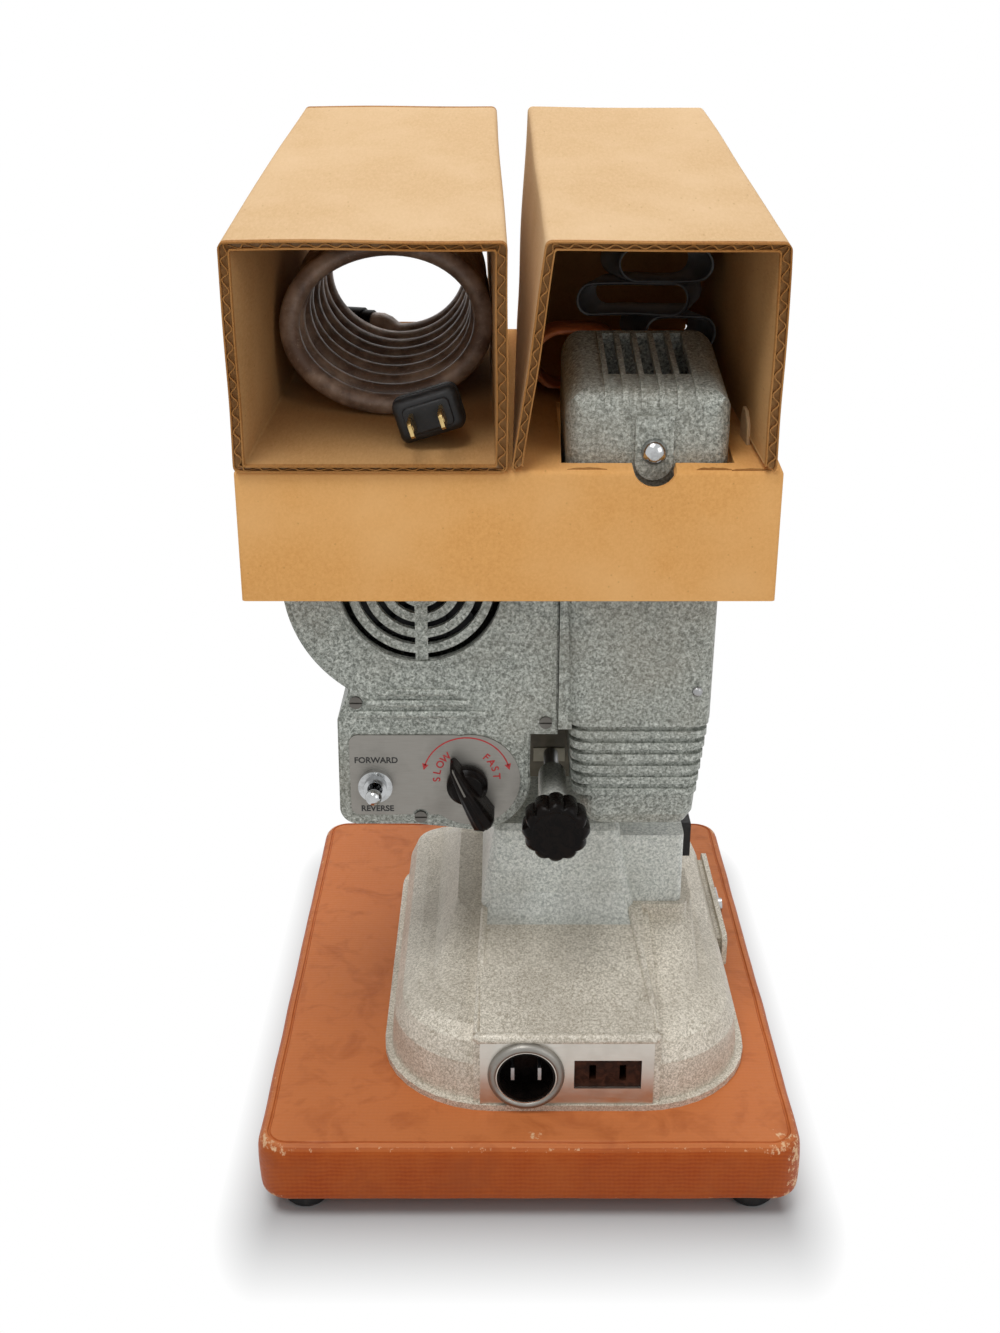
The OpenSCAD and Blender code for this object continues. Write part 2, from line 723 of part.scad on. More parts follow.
module main_shaft() {
    color(steel) {
        rod_y(main_x, axis_z, split_y + 4, worm_y - worm_l / 2, shaft_r);
        rod_y(main_x, axis_z, worm_y + worm_l / 2, head_y1 - 2, shaft_r);
        translate([main_x, worm_y - worm_l / 2, axis_z]) rotate([-90, 0, 0])
            linear_extrude(worm_l, twist = -360 * worm_l / worm_pitch, slices = 36)
                rotate(90 - 180 * worm_l / worm_pitch) translate([worm_wave, 0]) circle(worm_r, $fn = 12);
        pulley(main_x, axis_z, pulley_y - 3.6, pulley_y + 3.6, main_pulley_r, shaft_r - 0.5);
    }
}

module shutter() {
    color("#303234") difference() {
        union() {
            rod_y(main_x, axis_z, shutter_y, shutter_y + 1.2, shutter_r);
            rod_y(main_x, axis_z, shutter_y, shutter_y + 5, 8);
        }
        for (a = [0:120:240]) translate([main_x, shutter_y - 1, axis_z]) rotate([0, a, 0]) along_y(0, 4)
            polygon([[30, 8], [70, 18], [70, -18], [30, -8]]);
        rod_y(main_x, axis_z, shutter_y - 1, shutter_y + 6, shaft_r + 0.01);
    }
}

module worm_wheel(phase) {
    steps = wheel_teeth * 6;
    polygon([for (i = [0:steps - 1]) let (a = 360 * i / steps, r = wheel_r - 0.55 + worm_wave * cos(wheel_teeth * a + phase))
        [r * cos(a), r * sin(a)]]);
}

module sprocket(side) {
    z = axis_z + side * wheel_up;
    teeth = 12;
    translate([0, worm_y, z]) {
        along_x(main_x - 2.5, main_x + 2.5) worm_wheel(side > 0 ? 0 : 180);
        rod_x(0, 0, main_x - 6, axis_x + film_w / 2 + 3, sprocket_shaft_r);
        rod_x(0, 0, axis_x - film_w / 2 - 2, axis_x + film_w / 2 + 2, sprocket_r - 1.5);
        for (x = [axis_x - film_w / 2 - 2, axis_x + film_w / 2]) rod_x(0, 0, x, x + 2, sprocket_r);
        for (i = [0:teeth - 1]) rotate([360 / teeth * i, 0, 0])
            translate([axis_x + film_w / 2 - 1, -0.6, sprocket_r - 2]) cube([1, 1.2, 3]);
        rod_x(0, 0, drive_x1 + gap, drive_x1 + 6, 5.5);
    }
}

module upper_sprocket() {
    color(chrome) sprocket(1);
}

module lower_sprocket() {
    color(chrome) sprocket(-1);
}

gate_y = 18;

module film_claw() {
    color(steel) {
        translate([drive_x1, gate_y - 10, axis_z - 10]) cube([axis_x + film_w / 2 - drive_x1, 3, 5]);
        translate([axis_x + film_w / 2 - 1.2, gate_y - 8, axis_z - 8.2]) cube([1.2, 6, 1.4]);
    }
}

// Lamp house, its cap and what it holds

lamp_y1 = split_y - 2;
rib_z = axis_z - 26;
rib_h = 3.2;
cap_z1 = lamp_z1 + cap_h;
bulb_y = (lamp_y0 + lamp_y1) / 2 + 2;
hood_r = 19;

module lamp_slice(z, in0, in1, inset) {
    translate([0, 0, z]) round_bar(lamp_x0 + in0 + inset, lamp_x1 - in1 - inset,
        lamp_y0 + in0 / 2 + inset, lamp_y1 - inset, 7, eps);
}

module lamp_form(inset, end) {
    hull() {
        lamp_slice(lamp_z0 + end, 14, 9, inset);
        lamp_slice(lamp_z0 + 5, 10.5, 6.5, inset);
        lamp_slice(rib_z - rib_pitch * rib_count, 8.5, 6, inset);
        lamp_slice(rib_z, 6, 4, inset);
    }
    hull() {
        lamp_slice(rib_z - 1, 3.3, 1.3, inset);
        lamp_slice(lamp_z1 - eps + (inset > 0 ? 1 : 0), 0, 0, inset);
    }
}

module lamp_house() {
    color(enamel) difference() {
        union() {
            difference() {
                union() {
                    lamp_form(0, 0);
                    for (i = [0:rib_count - 1]) translate([0, 0, rib_z - rib_h - rib_pitch * i])
                        round_bar(lamp_x0 + 3.6 + 0.35 * i, lamp_x1 - 1.6 - 0.6 * i, lamp_y0 + 1.4 + 0.3 * i,
                            lamp_y1 - 1, 7, rib_h);
                    translate([drive_x1 + gap, lamp_y0 + 5, rib_z - 6]) cube([lamp_x0 + 5 - drive_x1 - gap, 3, cover_top - rib_z + 6]);
                }
                lamp_form(head_wall, head_wall);
            }
            rod_y(axis_x, axis_z, lamp_y1 - 10, lamp_y1 + 7, hood_r);
        }
        rod_y(nut_x, nut_z, lamp_y0 - 1, lamp_y0 + head_wall + 1, nut_stud_r + fit);
        rod_y(axis_x, axis_z, lamp_y1 - 11, lamp_y1 + 8, hood_r - 3 + fit);
    }
}

cap_yc = lamp_y0 + cap_round;
cap_zc = cap_z1 - cap_round / cos(cap_slope) - (lamp_y1 - cap_yc) * tan(cap_slope);
cap_edge = 9;
cap_corner = 8;
cap_wall = head_wall - 0.5;

function cap_top(y, r) = cap_zc + r / cos(cap_slope) + (y - cap_yc) * tan(cap_slope);

// Side of the cap: a rear wall, a rounded edge and a sloping top
module cap_side(r) {
    translate([cap_yc - r, lamp_z1]) square([r, cap_zc - lamp_z1]);
    translate([cap_yc, cap_zc]) circle(r);
    polygon([[cap_yc, lamp_z1], [lamp_y1, lamp_z1], [lamp_y1, cap_top(lamp_y1, r)],
        [cap_yc - r * sin(cap_slope), cap_zc + r * cos(cap_slope)], [cap_yc, cap_zc]]);
}

// Cross-section of the cap under its sloping top, with rounded edges
module cap_front() {
    for (x = [lamp_x0 + cap_edge, lamp_x1 - cap_edge]) translate([x, -cap_edge]) circle(cap_edge);
    translate([lamp_x0 + cap_edge, -cap_edge]) square([lamp_x1 - lamp_x0 - 2 * cap_edge, cap_edge]);
    translate([lamp_x0, -80]) square([lamp_x1 - lamp_x0, 80 - cap_edge]);
}

module cap_form() {
    intersection() {
        along_x(lamp_x0, lamp_x1) cap_side(cap_round);
        translate([0, lamp_y1, cap_z1]) rotate([cap_slope, 0, 0]) along_y(-120, 20) cap_front();
        translate([0, 0, lamp_z1]) round_bar(lamp_x0, lamp_x1, lamp_y0, lamp_y1, cap_corner, cap_h + 2);
    }
}

// Room inside the cap, its edges cut flat where the outside is round
module cap_hollow() {
    x0 = lamp_x0 + cap_wall;
    x1 = lamp_x1 - cap_wall;
    y0 = lamp_y0 + cap_wall;
    y1 = lamp_y1 - cap_wall;
    c = 0.6 * (cap_edge - cap_wall);
    intersection() {
        along_x(x0, x1) polygon([[y0, lamp_z1 - 1], [y1, lamp_z1 - 1], [y1, cap_top(y1, cap_round - cap_wall)],
            [cap_yc, cap_top(cap_yc, cap_round - cap_wall)], [y0, cap_zc]]);
        translate([0, lamp_y1, cap_z1 - cap_wall / cos(cap_slope)]) rotate([cap_slope, 0, 0]) along_y(-120, 20)
            polygon([[x0, -80], [x1, -80], [x1, -c], [x1 - c, 0], [x0 + c, 0], [x0, -c]]);
        translate([0, 0, lamp_z1 - 1]) linear_extrude(cap_h + 4)
            polygon([[x0 + c, y0], [x1 - c, y0], [x1, y0 + c], [x1, y1 - c], [x1 - c, y1], [x0 + c, y1], [x0, y1 - c], [x0, y0 + c]]);
    }
}

fin_pitch = 7.3;
fin_t = 2.2;
fin_x0 = axis_x + 1.4 - fin_pitch * (cap_fins - 1) / 2;
slot_y0 = lamp_y0 + 20;
tab_r = 7.7;
nut_x = 49.3;
nut_z = lamp_z1 - 10.5;
nut_stud_r = 2;

module lamp_cap() {
    color(enamel) difference() {
        union() {
            difference() {
                cap_form();
                cap_hollow();
                for (i = [0:cap_fins - 2]) translate([fin_x0 + fin_pitch * i + fin_t / 2, slot_y0, lamp_z1 + 5])
                    cube([fin_pitch - fin_t, lamp_y1 - 3 - slot_y0, cap_h]);
            }
            for (i = [0:cap_fins - 1]) along_x(fin_x0 + fin_pitch * i - fin_t / 2, fin_x0 + fin_pitch * i + fin_t / 2)
                intersection() {
                    difference() {
                        cap_side(cap_round + 1.1);
                        cap_side(cap_round - 2);
                    }
                    translate([lamp_y0 - 2, lamp_z1 + 7]) square([lamp_y1 - 3 - lamp_y0 + 2, cap_h]);
                }
            along_y(lamp_y0 - 1.8, lamp_y0 - gap) translate([nut_x, nut_z - 4]) {
                circle(tab_r);
                translate([-tab_r, 0]) square([2 * tab_r, lamp_z1 - nut_z + 8]);
            }
            translate([nut_x - tab_r, lamp_y0 - 1.8, lamp_z1 + gap]) cube([2 * tab_r, 3, 3.7]);
        }
        rod_y(nut_x, nut_z, lamp_y0 - 3, lamp_y0 + 1, nut_stud_r + fit);
    }
}

module cap_nut() {
    y1 = lamp_y0 - 1.9;
    color(chrome) {
        rod_y(nut_x, nut_z, y1 - 1, lamp_y0 + head_wall + 2, nut_stud_r);
        difference() {
            translate([nut_x, y1 + 0.6, nut_z]) sphere(5.5);
            translate([nut_x - 6, y1, nut_z - 6]) cube([12, 8, 12]);
        }
    }
}

module lamp_base() {
    color(brass) translate([axis_x, bulb_y, lamp_z0 + head_wall]) {
        cylinder(r = 17, h = 17);
        cylinder(r = 12.5, h = 37);
    }
}

module lamp_bulb() {
    color("#e8e6da") translate([axis_x, bulb_y, lamp_z0 + head_wall + 37]) {
        cylinder(r = 14, h = 92);
        translate([0, 0, 92]) sphere(14);
    }
}

module reflector() {
    y0 = lamp_y0 + 6.5;
    color(chrome) {
        intersection() {
            difference() {
                translate([axis_x, y0 + 30, axis_z]) sphere(30);
                translate([axis_x, y0 + 30, axis_z]) sphere(28.6);
            }
            rod_y(axis_x, axis_z, y0 - 1, y0 + 5, 15);
        }
        rod_y(axis_x, axis_z, lamp_y0 + head_wall + 1.6, y0 + 0.6, 3);
    }
}

// A lens that is thick in the middle: t is its thickness there and curve the radius of each face
module lens_disc(y, r, t, curve) {
    steps = 6;
    face = [for (i = [0:steps]) let (x = r * i / steps) [x, t / 2 - curve + sqrt(curve * curve - x * x)]];
    translate([axis_x, y, axis_z]) rotate([90, 0, 0]) rotate_extrude()
        polygon(concat(face, [for (i = [steps:-1:0]) [face[i][0], -face[i][1]]]));
}

module condenser() {
    color("#cfe0e4") {
        lens_disc(lamp_y1 - 6, hood_r - 3, 6, 60);
        lens_disc(lamp_y1 + 1.5, hood_r - 3, 6, 60);
    }
}

// Film gate and lens

module aperture_plate() {
    color(chrome) difference() {
        union() {
            translate([drive_x1, gate_y - 2, axis_z - 36]) cube([50, 2, 72]);
            translate([drive_x1, gate_y - 2, axis_z - 30]) cube([3, 14, 60]);
            for (s = [-1, 1]) rod_y(axis_x - film_w / 2 - 3, axis_z + 16 * s, gate_y - eps, gate_y + 9, 1.2);
        }
        translate([axis_x - 2.4, gate_y - 3, axis_z - 1.8]) cube([4.8, 4, 3.6]);
        translate([axis_x + film_w / 2 - 1.6, gate_y - 3, axis_z - 9.5]) cube([2, 4, 5]);
    }
}

module pressure_plate() {
    x0 = axis_x - film_w / 2 - 6;
    color(chrome) difference() {
        union() {
            translate([x0, gate_y + 0.4, axis_z - 20]) cube([film_w + 9, 2, 40]);
            translate([x0 + film_w + 8, gate_y + 0.4, axis_z - 4]) cube([8, 1.6, 8]);
        }
        for (s = [-1, 1]) rod_y(axis_x - film_w / 2 - 3, axis_z + 16 * s, gate_y, gate_y + 5, 1.2 + fit);
        translate([axis_x - 3.5, gate_y - 1, axis_z - 3]) cube([7, 6, 6]);
    }
}

holder_y0 = 44;
holder_y1 = 72;
focus_z = axis_z + lens_r + 9;
focus_y = 58;

module lens_holder() {
    color(enamel) difference() {
        union() {
            rod_y(axis_x, axis_z, holder_y0, holder_y1, lens_r + 4);
            translate([drive_x1, holder_y0 + 2, axis_z - 8]) cube([axis_x - lens_r - drive_x1, 24, 16]);
            along_x(axis_x, axis_x + 13) translate([focus_y - 6, axis_z + lens_r - 2]) square([12, 10]);
            rod_x(focus_y, focus_z, axis_x, axis_x + 13, 6);
        }
        rod_y(axis_x, axis_z, holder_y0 - 1, holder_y1 + 1, lens_r + fit);
        rod_x(focus_y, focus_z, axis_x - 1, axis_x + 14, 2.5 + fit);
    }
}

lens_y0 = gate_y + 13;
lens_y1 = lens_y0 + lens_l;

module lens_barrel() {
    color(steel) difference() {
        union() {
            rod_y(axis_x, axis_z, lens_y0, lens_y1, lens_r);
            rod_y(axis_x, axis_z, lens_y1 - 9, lens_y1, lens_r + 2);
            for (i = [0:3]) rod_y(axis_x, axis_z, lens_y1 - 22 + 3 * i, lens_y1 - 20.4 + 3 * i, lens_r + 0.8);
        }
        rod_y(axis_x, axis_z, lens_y0 - 1, lens_y1 + 1, lens_r - 3);
    }
}

module lens_glass() {
    color("#cfe0e4") {
        lens_disc(lens_y1 - 6, lens_r - 3, 5, 40);
        lens_disc(lens_y0 + 6, lens_r - 3, 5, 40);
    }
}

module focus_knob() {
    x = axis_x + 13.4;
    color(bakelite) difference() {
        rod_x(focus_y, focus_z, x, x + 9, 8);
        for (a = [0:30:330]) rod_x(focus_y + 8.8 * cos(a), focus_z + 8.8 * sin(a), x + 1.5, x + 10, 1.6);
    }
    color(steel) rod_x(focus_y, focus_z, axis_x + 1, x + eps, 2.5);
}

// Reel arms and spindles

arm_x = drive_x1 + 2;
arm_y = head_y1 + 21;
supply_z = tray_z0 - 13;
takeup_z = head_z0 + 25;
arm_boss_r = 9;

module arm_brackets() {
    color(enamel) for (z = [supply_z, takeup_z]) {
        along_x(-8, arm_x - gap) translate([head_y1, z - 10]) square([arm_y - head_y1, 20]);
        rod_x(arm_y, z, -8, arm_x - gap, 10);
    }
    color(chrome) for (z = [supply_z, takeup_z]) {
        rod_x(arm_y, z, arm_x - gap - eps, arm_x + arm_t + 1, 4);
        rod_x(arm_y, z, arm_x + arm_t + gap, arm_x + arm_t + 4.3, 6.5);
    }
}

module reel_arm(z, length) {
    s = sign(length);
    tip_z = z + length;
    difference() {
        union() {
            rod_x(arm_y, z, arm_x, arm_x + arm_t, arm_boss_r);
            rod_x(arm_y, tip_z, arm_x, arm_x + arm_t + 8, arm_boss_r - 1);
            along_x(arm_x, arm_x + arm_t - 2) translate([arm_y - 6, min(z, tip_z)]) square([12, abs(length)]);
            for (y = [arm_y - 6, arm_y + 4]) along_x(arm_x, arm_x + arm_t)
                translate([y, min(z, tip_z)]) square([2, abs(length)]);
        }
        rod_x(arm_y, z, arm_x - 1, arm_x + arm_t + 1, 4 + fit);
        rod_x(arm_y, tip_z, arm_x - 1, arm_x + arm_t + 9, 3 + fit);
    }
}

module supply_arm() {
    color(enamel) reel_arm(supply_z, supply_l);
}

module takeup_arm() {
    color(enamel) reel_arm(takeup_z, -takeup_l);
}

module reel_spindle(z) {
    x0 = arm_x + arm_t + 8 + gap;
    rod_x(arm_y, z, arm_x - 1, x0 + eps, 3);
    rod_x(arm_y, z, arm_x - 3, arm_x - gap, 6);
    rod_x(arm_y, z, x0, x0 + 2.5, 9);
    rod_x(arm_y, z, x0 + 2, x0 + 2.5 + spindle_l, spindle_r);
    rod_x(arm_y, z, x0 + 2.5 + spindle_l, x0 + 6 + spindle_l, spindle_r - 1.2);
}

module supply_spindle() {
    color(chrome) reel_spindle(supply_z + supply_l);
}

module takeup_spindle() {
    color(chrome) reel_spindle(takeup_z - takeup_l);
}

// Cardboard insert

tube_gap = 0.2;

module tray_side(inset, low) {
    polygon([[tray_y0 + inset, tray_z0 - low], [tray_y1 - inset, tray_z0 - low],
        [tray_y1 - inset, top_z(tray_y1 - inset) - inset], [tray_y0 + inset, top_z(tray_y0 + inset) - inset]]);
}

module insert_tray() {
    color(card) difference() {
        along_x(tray_x0, tray_x1) tray_side(0, 0);
        along_x(tray_x0 + card_t, tray_x1 - card_t) tray_side(card_t, 1);
        translate([lamp_x0 - 1.5, lamp_y0 - 1, tray_z1 - 20]) cube([lamp_x1 - lamp_x0 + 3, lamp_y1 - lamp_y0 + 3, 60]);
        along_y(tray_y0 - 1, lamp_y0 + 1) translate([nut_x, nut_z - 4]) {
            circle(tab_r + 1.2);
            translate([-tab_r - 1.2, 0]) square([2 * tab_r + 2.4, 30]);
        }
    }
}

module tube_slice(y, pts) {
    translate([0, y, 0]) rotate([90, 0, 0]) linear_extrude(eps) polygon(pts);
}

// Corners of each tube at its near and far end, drawn in X and Z; t is the wall left out
near_y = tray_y0 - 2;
far_y = tray_y1 + 1;
near_top = tray_z1 + tube_h;
far_top = top_z(tray_y1) + tube_far_h;
left_near = [tray_x0 + 0.5, -10];
left_far = [-108, -14.5];
right_near = [-8.5, 4.5, 97.5];
right_far = [-4.5, 0.5, 86];

function left_pts(x, z0, z1, t) = [[x[0] + t, z0 + t], [x[1] - t, z0 + t], [x[1] - t, z1 - t], [x[0] + t, z1 - t]];
function right_pts(x, z0, z1, t) = [[x[0] + t, z0 - t], [x[2] - t, z0 - t], [x[2] - t, z1 - t], [x[1] + t, z1 - t]];

module left_form(t) {
    over = t > 0 ? 1 : 0;
    hull() {
        tube_slice(near_y - over, left_pts(left_near, top_z(near_y - over) + tube_gap, near_top, t));
        tube_slice(far_y + over, left_pts(left_far, top_z(far_y + over) + tube_gap, far_top, t));
    }
}

module right_form(t) {
    back = t > 0 ? -card_t : 0;
    front = near_y - (t > 0 ? 1 : 0);
    hull() {
        tube_slice(front, right_pts(right_near, top_z(front) + tube_gap, near_top, t));
        tube_slice(far_y + back, right_pts(right_far, top_z(far_y + back) + tube_gap, far_top, t));
    }
}

module left_tube() {
    color(card) difference() {
        left_form(0);
        left_form(card_t);
    }
}

module right_tube() {
    color(card) difference() {
        right_form(0);
        right_form(card_t);
    }
}

// Supply cord coiled in the left tube: loops round the tube's axis, each a pitch further back

cord_x = -62;
cord_rx = 42;
cord_rz = 30;
cord_y0 = -22;
cord_pitch = 12.5;
cord_lean = 12;
plug_x = -42;
plug_back = -58;
plug_z = top_z(plug_back) + tube_gap + card_t + gap + 11;
bend_r = plug_x - cord_x;
function floor_z(y) = top_z(y) + tube_gap + card_t + gap + cord_d / 2;
function loop_rz(t) = cord_rz - 0.8 * sin(t / 3.5);
function loop_y(t) = cord_y0 + cord_pitch * t / 360 - cord_lean * cos(t) + 1.5 * sin(t * 2);
function loop_pt(t) = let (rx = cord_rx - 5 * t / 2520 + 0.5 * sin(t / 2.7), y = loop_y(t))
    [cord_x - rx * sin(t), y, floor_z(y) + loop_rz(t) * (1 - cos(t))];
lead_y = plug_back + 5;
cord_lift = 4.5;
tail_turn = 20;
cord_tail = [-cos(tail_turn), sin(tail_turn), 0];
cord_turn = 360 * cord_loops;
cord_end = loop_pt(cord_turn);
cord_path = concat(
    [[plug_x, plug_back, plug_z]],
    [for (a = [0:15:75]) let (s = a / 90) [plug_x - bend_r * (1 - cos(a)), lead_y + (loop_y(0) - lead_y) * sin(a),
        plug_z + (loop_pt(0)[2] - plug_z) * s * s * (3 - 2 * s)]],
    [for (i = [0:24 * cord_loops]) loop_pt(15 * i)],
    [for (x = [3, 6, 9]) cord_end + x * cord_tail + [0, 0, cord_lift * (1 - cos(x * 20)) / 2]],
    [cord_end + 14 * cord_tail + [0, 0, cord_lift]]);
connector_pt = cord_path[len(cord_path) - 1];

function unit(v) = v / norm(v);
function tangent(p, i) = unit(p[min(i + 1, len(p) - 1)] - p[max(i - 1, 0)]);
function frames(p, i, u) = i == len(p) ? [] :
    let (t = tangent(p, i), v = unit(u - (u * t) * t)) concat([[v, cross(t, v)]], frames(p, i + 1, v));

module tube_along(p, r, n) {
    f = frames(p, 0, [0, 0, 1]);
    pts = [for (i = [0:len(p) - 1], k = [0:n - 1]) p[i] + r * (cos(360 * k / n) * f[i][0] + sin(360 * k / n) * f[i][1])];
    last = (len(p) - 1) * n;
    faces = concat([[for (k = [0:n - 1]) k]], [[for (k = [0:n - 1]) last + n - 1 - k]],
        [for (i = [0:len(p) - 2], k = [0:n - 1]) let (a = i * n + k, b = i * n + (k + 1) % n) [a, a + n, b]],
        [for (i = [0:len(p) - 2], k = [0:n - 1]) let (a = i * n + k, b = i * n + (k + 1) % n) [b, a + n, b + n]]);
    polyhedron(pts, faces);
}

module supply_cord() {
    color("#3a2a25") tube_along(cord_path, cord_d / 2, 6);
    echo(cord_length = sum_length(cord_path, 0), self_gap = least_gap(cord_path));
}

function sum_length(p, i) = i >= len(p) - 1 ? 0 : norm(p[i + 1] - p[i]) + sum_length(p, i + 1);
function least_gap(p) = min([for (i = [0:len(p) - 1], j = [i + 12:max(i + 12, len(p) - 1)])
    if (j < len(p)) norm(p[i] - p[j])]) - cord_d;

module cord_plug() {
    color("#1d1b1b") {
        translate([plug_x - 15, plug_back - 16, plug_z - 10.5]) cube([30, 14, 21]);
        along_y(plug_back - 19, plug_back - 16) translate([plug_x, plug_z]) round_rect(26, 17, 4);
        rod_y(plug_x, plug_z, plug_back - 3, plug_back, 7.5);
    }
    color(brass) for (x = [-6.35, 6.35]) translate([plug_x + x - 0.8, plug_back - 19 - 17, plug_z - 3.2]) cube([1.6, 17.1, 6.4]);
}

module cord_connector() {
    color("#1d1b1b") translate(connector_pt) rotate([0, 0, -tail_turn]) rotate([0, -90, 0]) {
        cylinder(r = 5.5, h = 5);
        translate([0, 0, 5]) cylinder(r = 6.5, h = 20);
    }
}

// Rubber band and leather strap behind the lamp cap, in the right tube

band_y0 = lamp_y1 + 14;
band_w = 30;
band_t = 1.6;
loop_h = 15.5;
strap_y0 = lamp_y1 + 4;
strap_w = 24;
strap_t = 2.4;
strap_h = 28;

// One flat-lying loop of band, drawn in X and Z
module lying_loop(x0, x1, h, t) {
    r = h / 2;
    translate([0, r]) difference() {
        union() {
            translate([x0 + r, 0]) circle(r);
            translate([x1 - r, 0]) circle(r);
            translate([x0 + r, -r]) square([x1 - x0 - h, h]);
        }
        translate([x0 + r, 0]) circle(r - t);
        translate([x1 - r, 0]) circle(r - t);
        translate([x0 + r, t - r]) square([x1 - x0 - h, h - 2 * t]);
    }
}

// The band is one piece folded over itself, so each loop shares its wall with the one below
band_ends = [[46, 80], [47, 80], [25, 76], [36, 78]];

module black_band() {
    z = top_z(band_y0 + band_w) + gap;
    color("#1a1c20") along_y(band_y0, band_y0 + band_w) for (i = [0:3])
        translate([0, z + i * (loop_h - band_t / 2)]) lying_loop(band_ends[i][0], band_ends[i][1], loop_h, band_t);
}

module carry_strap() {
    z = top_z(strap_y0 + strap_w) + gap;
    color("#8e4a26") along_y(strap_y0, strap_y0 + strap_w) translate([0, z]) lying_loop(1, 42, strap_h, strap_t);
}

case_base();
rubber_feet();
base_bolts();
base_casting();
base_plate();
socket_plate();
inlet_cup();
inlet_pins();
outlet_body();
side_cover();
side_cover_catch();
pedestal();
hinge_pin();
tilt_screw();
tilt_knob();
drive_housing();
drive_cover();
motor_cover();
cover_screws();
control_plate();
toggle_bush();
toggle_lever();
speed_knob();
rheostat();
motor();
motor_shaft();
fan();
motor_pulley();
drive_belt();
main_shaft();
shutter();
upper_sprocket();
lower_sprocket();
film_claw();
lamp_house();
lamp_cap();
cap_nut();
lamp_base();
lamp_bulb();
reflector();
condenser();
aperture_plate();
pressure_plate();
lens_holder();
lens_barrel();
lens_glass();
focus_knob();
arm_brackets();
supply_arm();
supply_spindle();
takeup_arm();
takeup_spindle();
insert_tray();
left_tube();
right_tube();
supply_cord();
cord_plug();
cord_connector();
black_band();
carry_strap();
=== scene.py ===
"""Looks of a portable movie projector seen from behind, on its case base.

Its cardboard accessory insert is on top. The frame holds the CAD model. This script lights it, gives every
node its finish, and adds or replaces the pieces whose shape a plain solid can't show: folded board,
cloth-covered wood, cord, straps, knobs and printed words. Lengths in comments are in millimetres, and those
of Blender and the camera in metres, so most values are multiplied by MM.
"""
import json
import math

import bmesh
import bpy
from mathutils.bvhtree import BVHTree
from mathutils import Matrix, Vector, noise


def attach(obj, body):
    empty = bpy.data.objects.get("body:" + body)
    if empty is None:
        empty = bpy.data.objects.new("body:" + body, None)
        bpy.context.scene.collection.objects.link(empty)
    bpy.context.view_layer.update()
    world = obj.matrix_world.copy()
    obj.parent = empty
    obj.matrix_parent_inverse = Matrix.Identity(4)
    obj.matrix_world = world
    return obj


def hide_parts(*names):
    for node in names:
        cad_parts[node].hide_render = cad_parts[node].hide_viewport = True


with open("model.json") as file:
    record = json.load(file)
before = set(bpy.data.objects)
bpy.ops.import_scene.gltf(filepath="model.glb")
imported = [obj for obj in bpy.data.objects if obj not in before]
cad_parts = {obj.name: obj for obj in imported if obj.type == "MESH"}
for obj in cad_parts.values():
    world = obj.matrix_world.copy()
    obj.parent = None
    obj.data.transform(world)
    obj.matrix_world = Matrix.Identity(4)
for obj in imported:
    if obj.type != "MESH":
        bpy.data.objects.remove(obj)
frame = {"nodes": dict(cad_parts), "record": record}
CAD = frame["nodes"]
scene = bpy.context.scene
scene.view_settings.view_transform = "Standard"
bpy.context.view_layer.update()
MM = 0.001
NOISE_SEED = 7

# Until a seed is set, Blender shifts noise_vector by the clock, and each run bends the soft pieces differently
noise.seed_set(NOISE_SEED)


def linear(hex_colour):
    """sRGB hex colour as linear RGBA."""
    parts = [int(hex_colour[i:i + 2], 16) / 255 for i in (1, 3, 5)]
    return [c / 12.92 if c <= 0.04045 else ((c + 0.055) / 1.055) ** 2.4 for c in parts] + [1]


def add(tree, kind, links=None, **settings):
    """Adds a node. A link's value is another node, one of its sockets, a hex colour or a plain value."""
    made = tree.nodes.new(kind)
    for name, value in settings.items():
        setattr(made, name, value)
    for key, value in (links or {}).items():
        if isinstance(value, bpy.types.Node):
            value = next(socket for socket in value.outputs if socket.enabled)
        if isinstance(value, bpy.types.NodeSocket):
            tree.links.new(value, made.inputs[key])
        elif isinstance(value, str) and value.startswith("#"):
            made.inputs[key].default_value = linear(value)
        else:
            made.inputs[key].default_value = value
    return made


# Camera, light and floor

def place_camera():
    """Camera behind the projector, nearly half a metre above the table, looking 22 degrees down."""
    data = bpy.data.cameras.new("photo_camera")
    data.sensor_width = 36
    data.lens = 1500 / 1333 * 36
    camera = bpy.data.objects.new("photo_camera", data)
    camera.location = (-0.013, -0.676, 0.4756)
    camera.rotation_euler = (math.radians(68), 0, 0)
    scene.collection.objects.link(camera)
    scene.camera = camera


def soft_box(name, place, target, size, power):
    """A rectangular studio lamp that faces its target."""
    data = bpy.data.lights.new(name, "AREA")
    data.shape = "RECTANGLE"
    data.size, data.size_y = size
    data.energy = power
    lamp = bpy.data.objects.new(name, data)
    lamp.location = place
    lamp.rotation_euler = (Vector(target) - Vector(place)).to_track_quat("-Z", "Y").to_euler()
    scene.collection.objects.link(lamp)


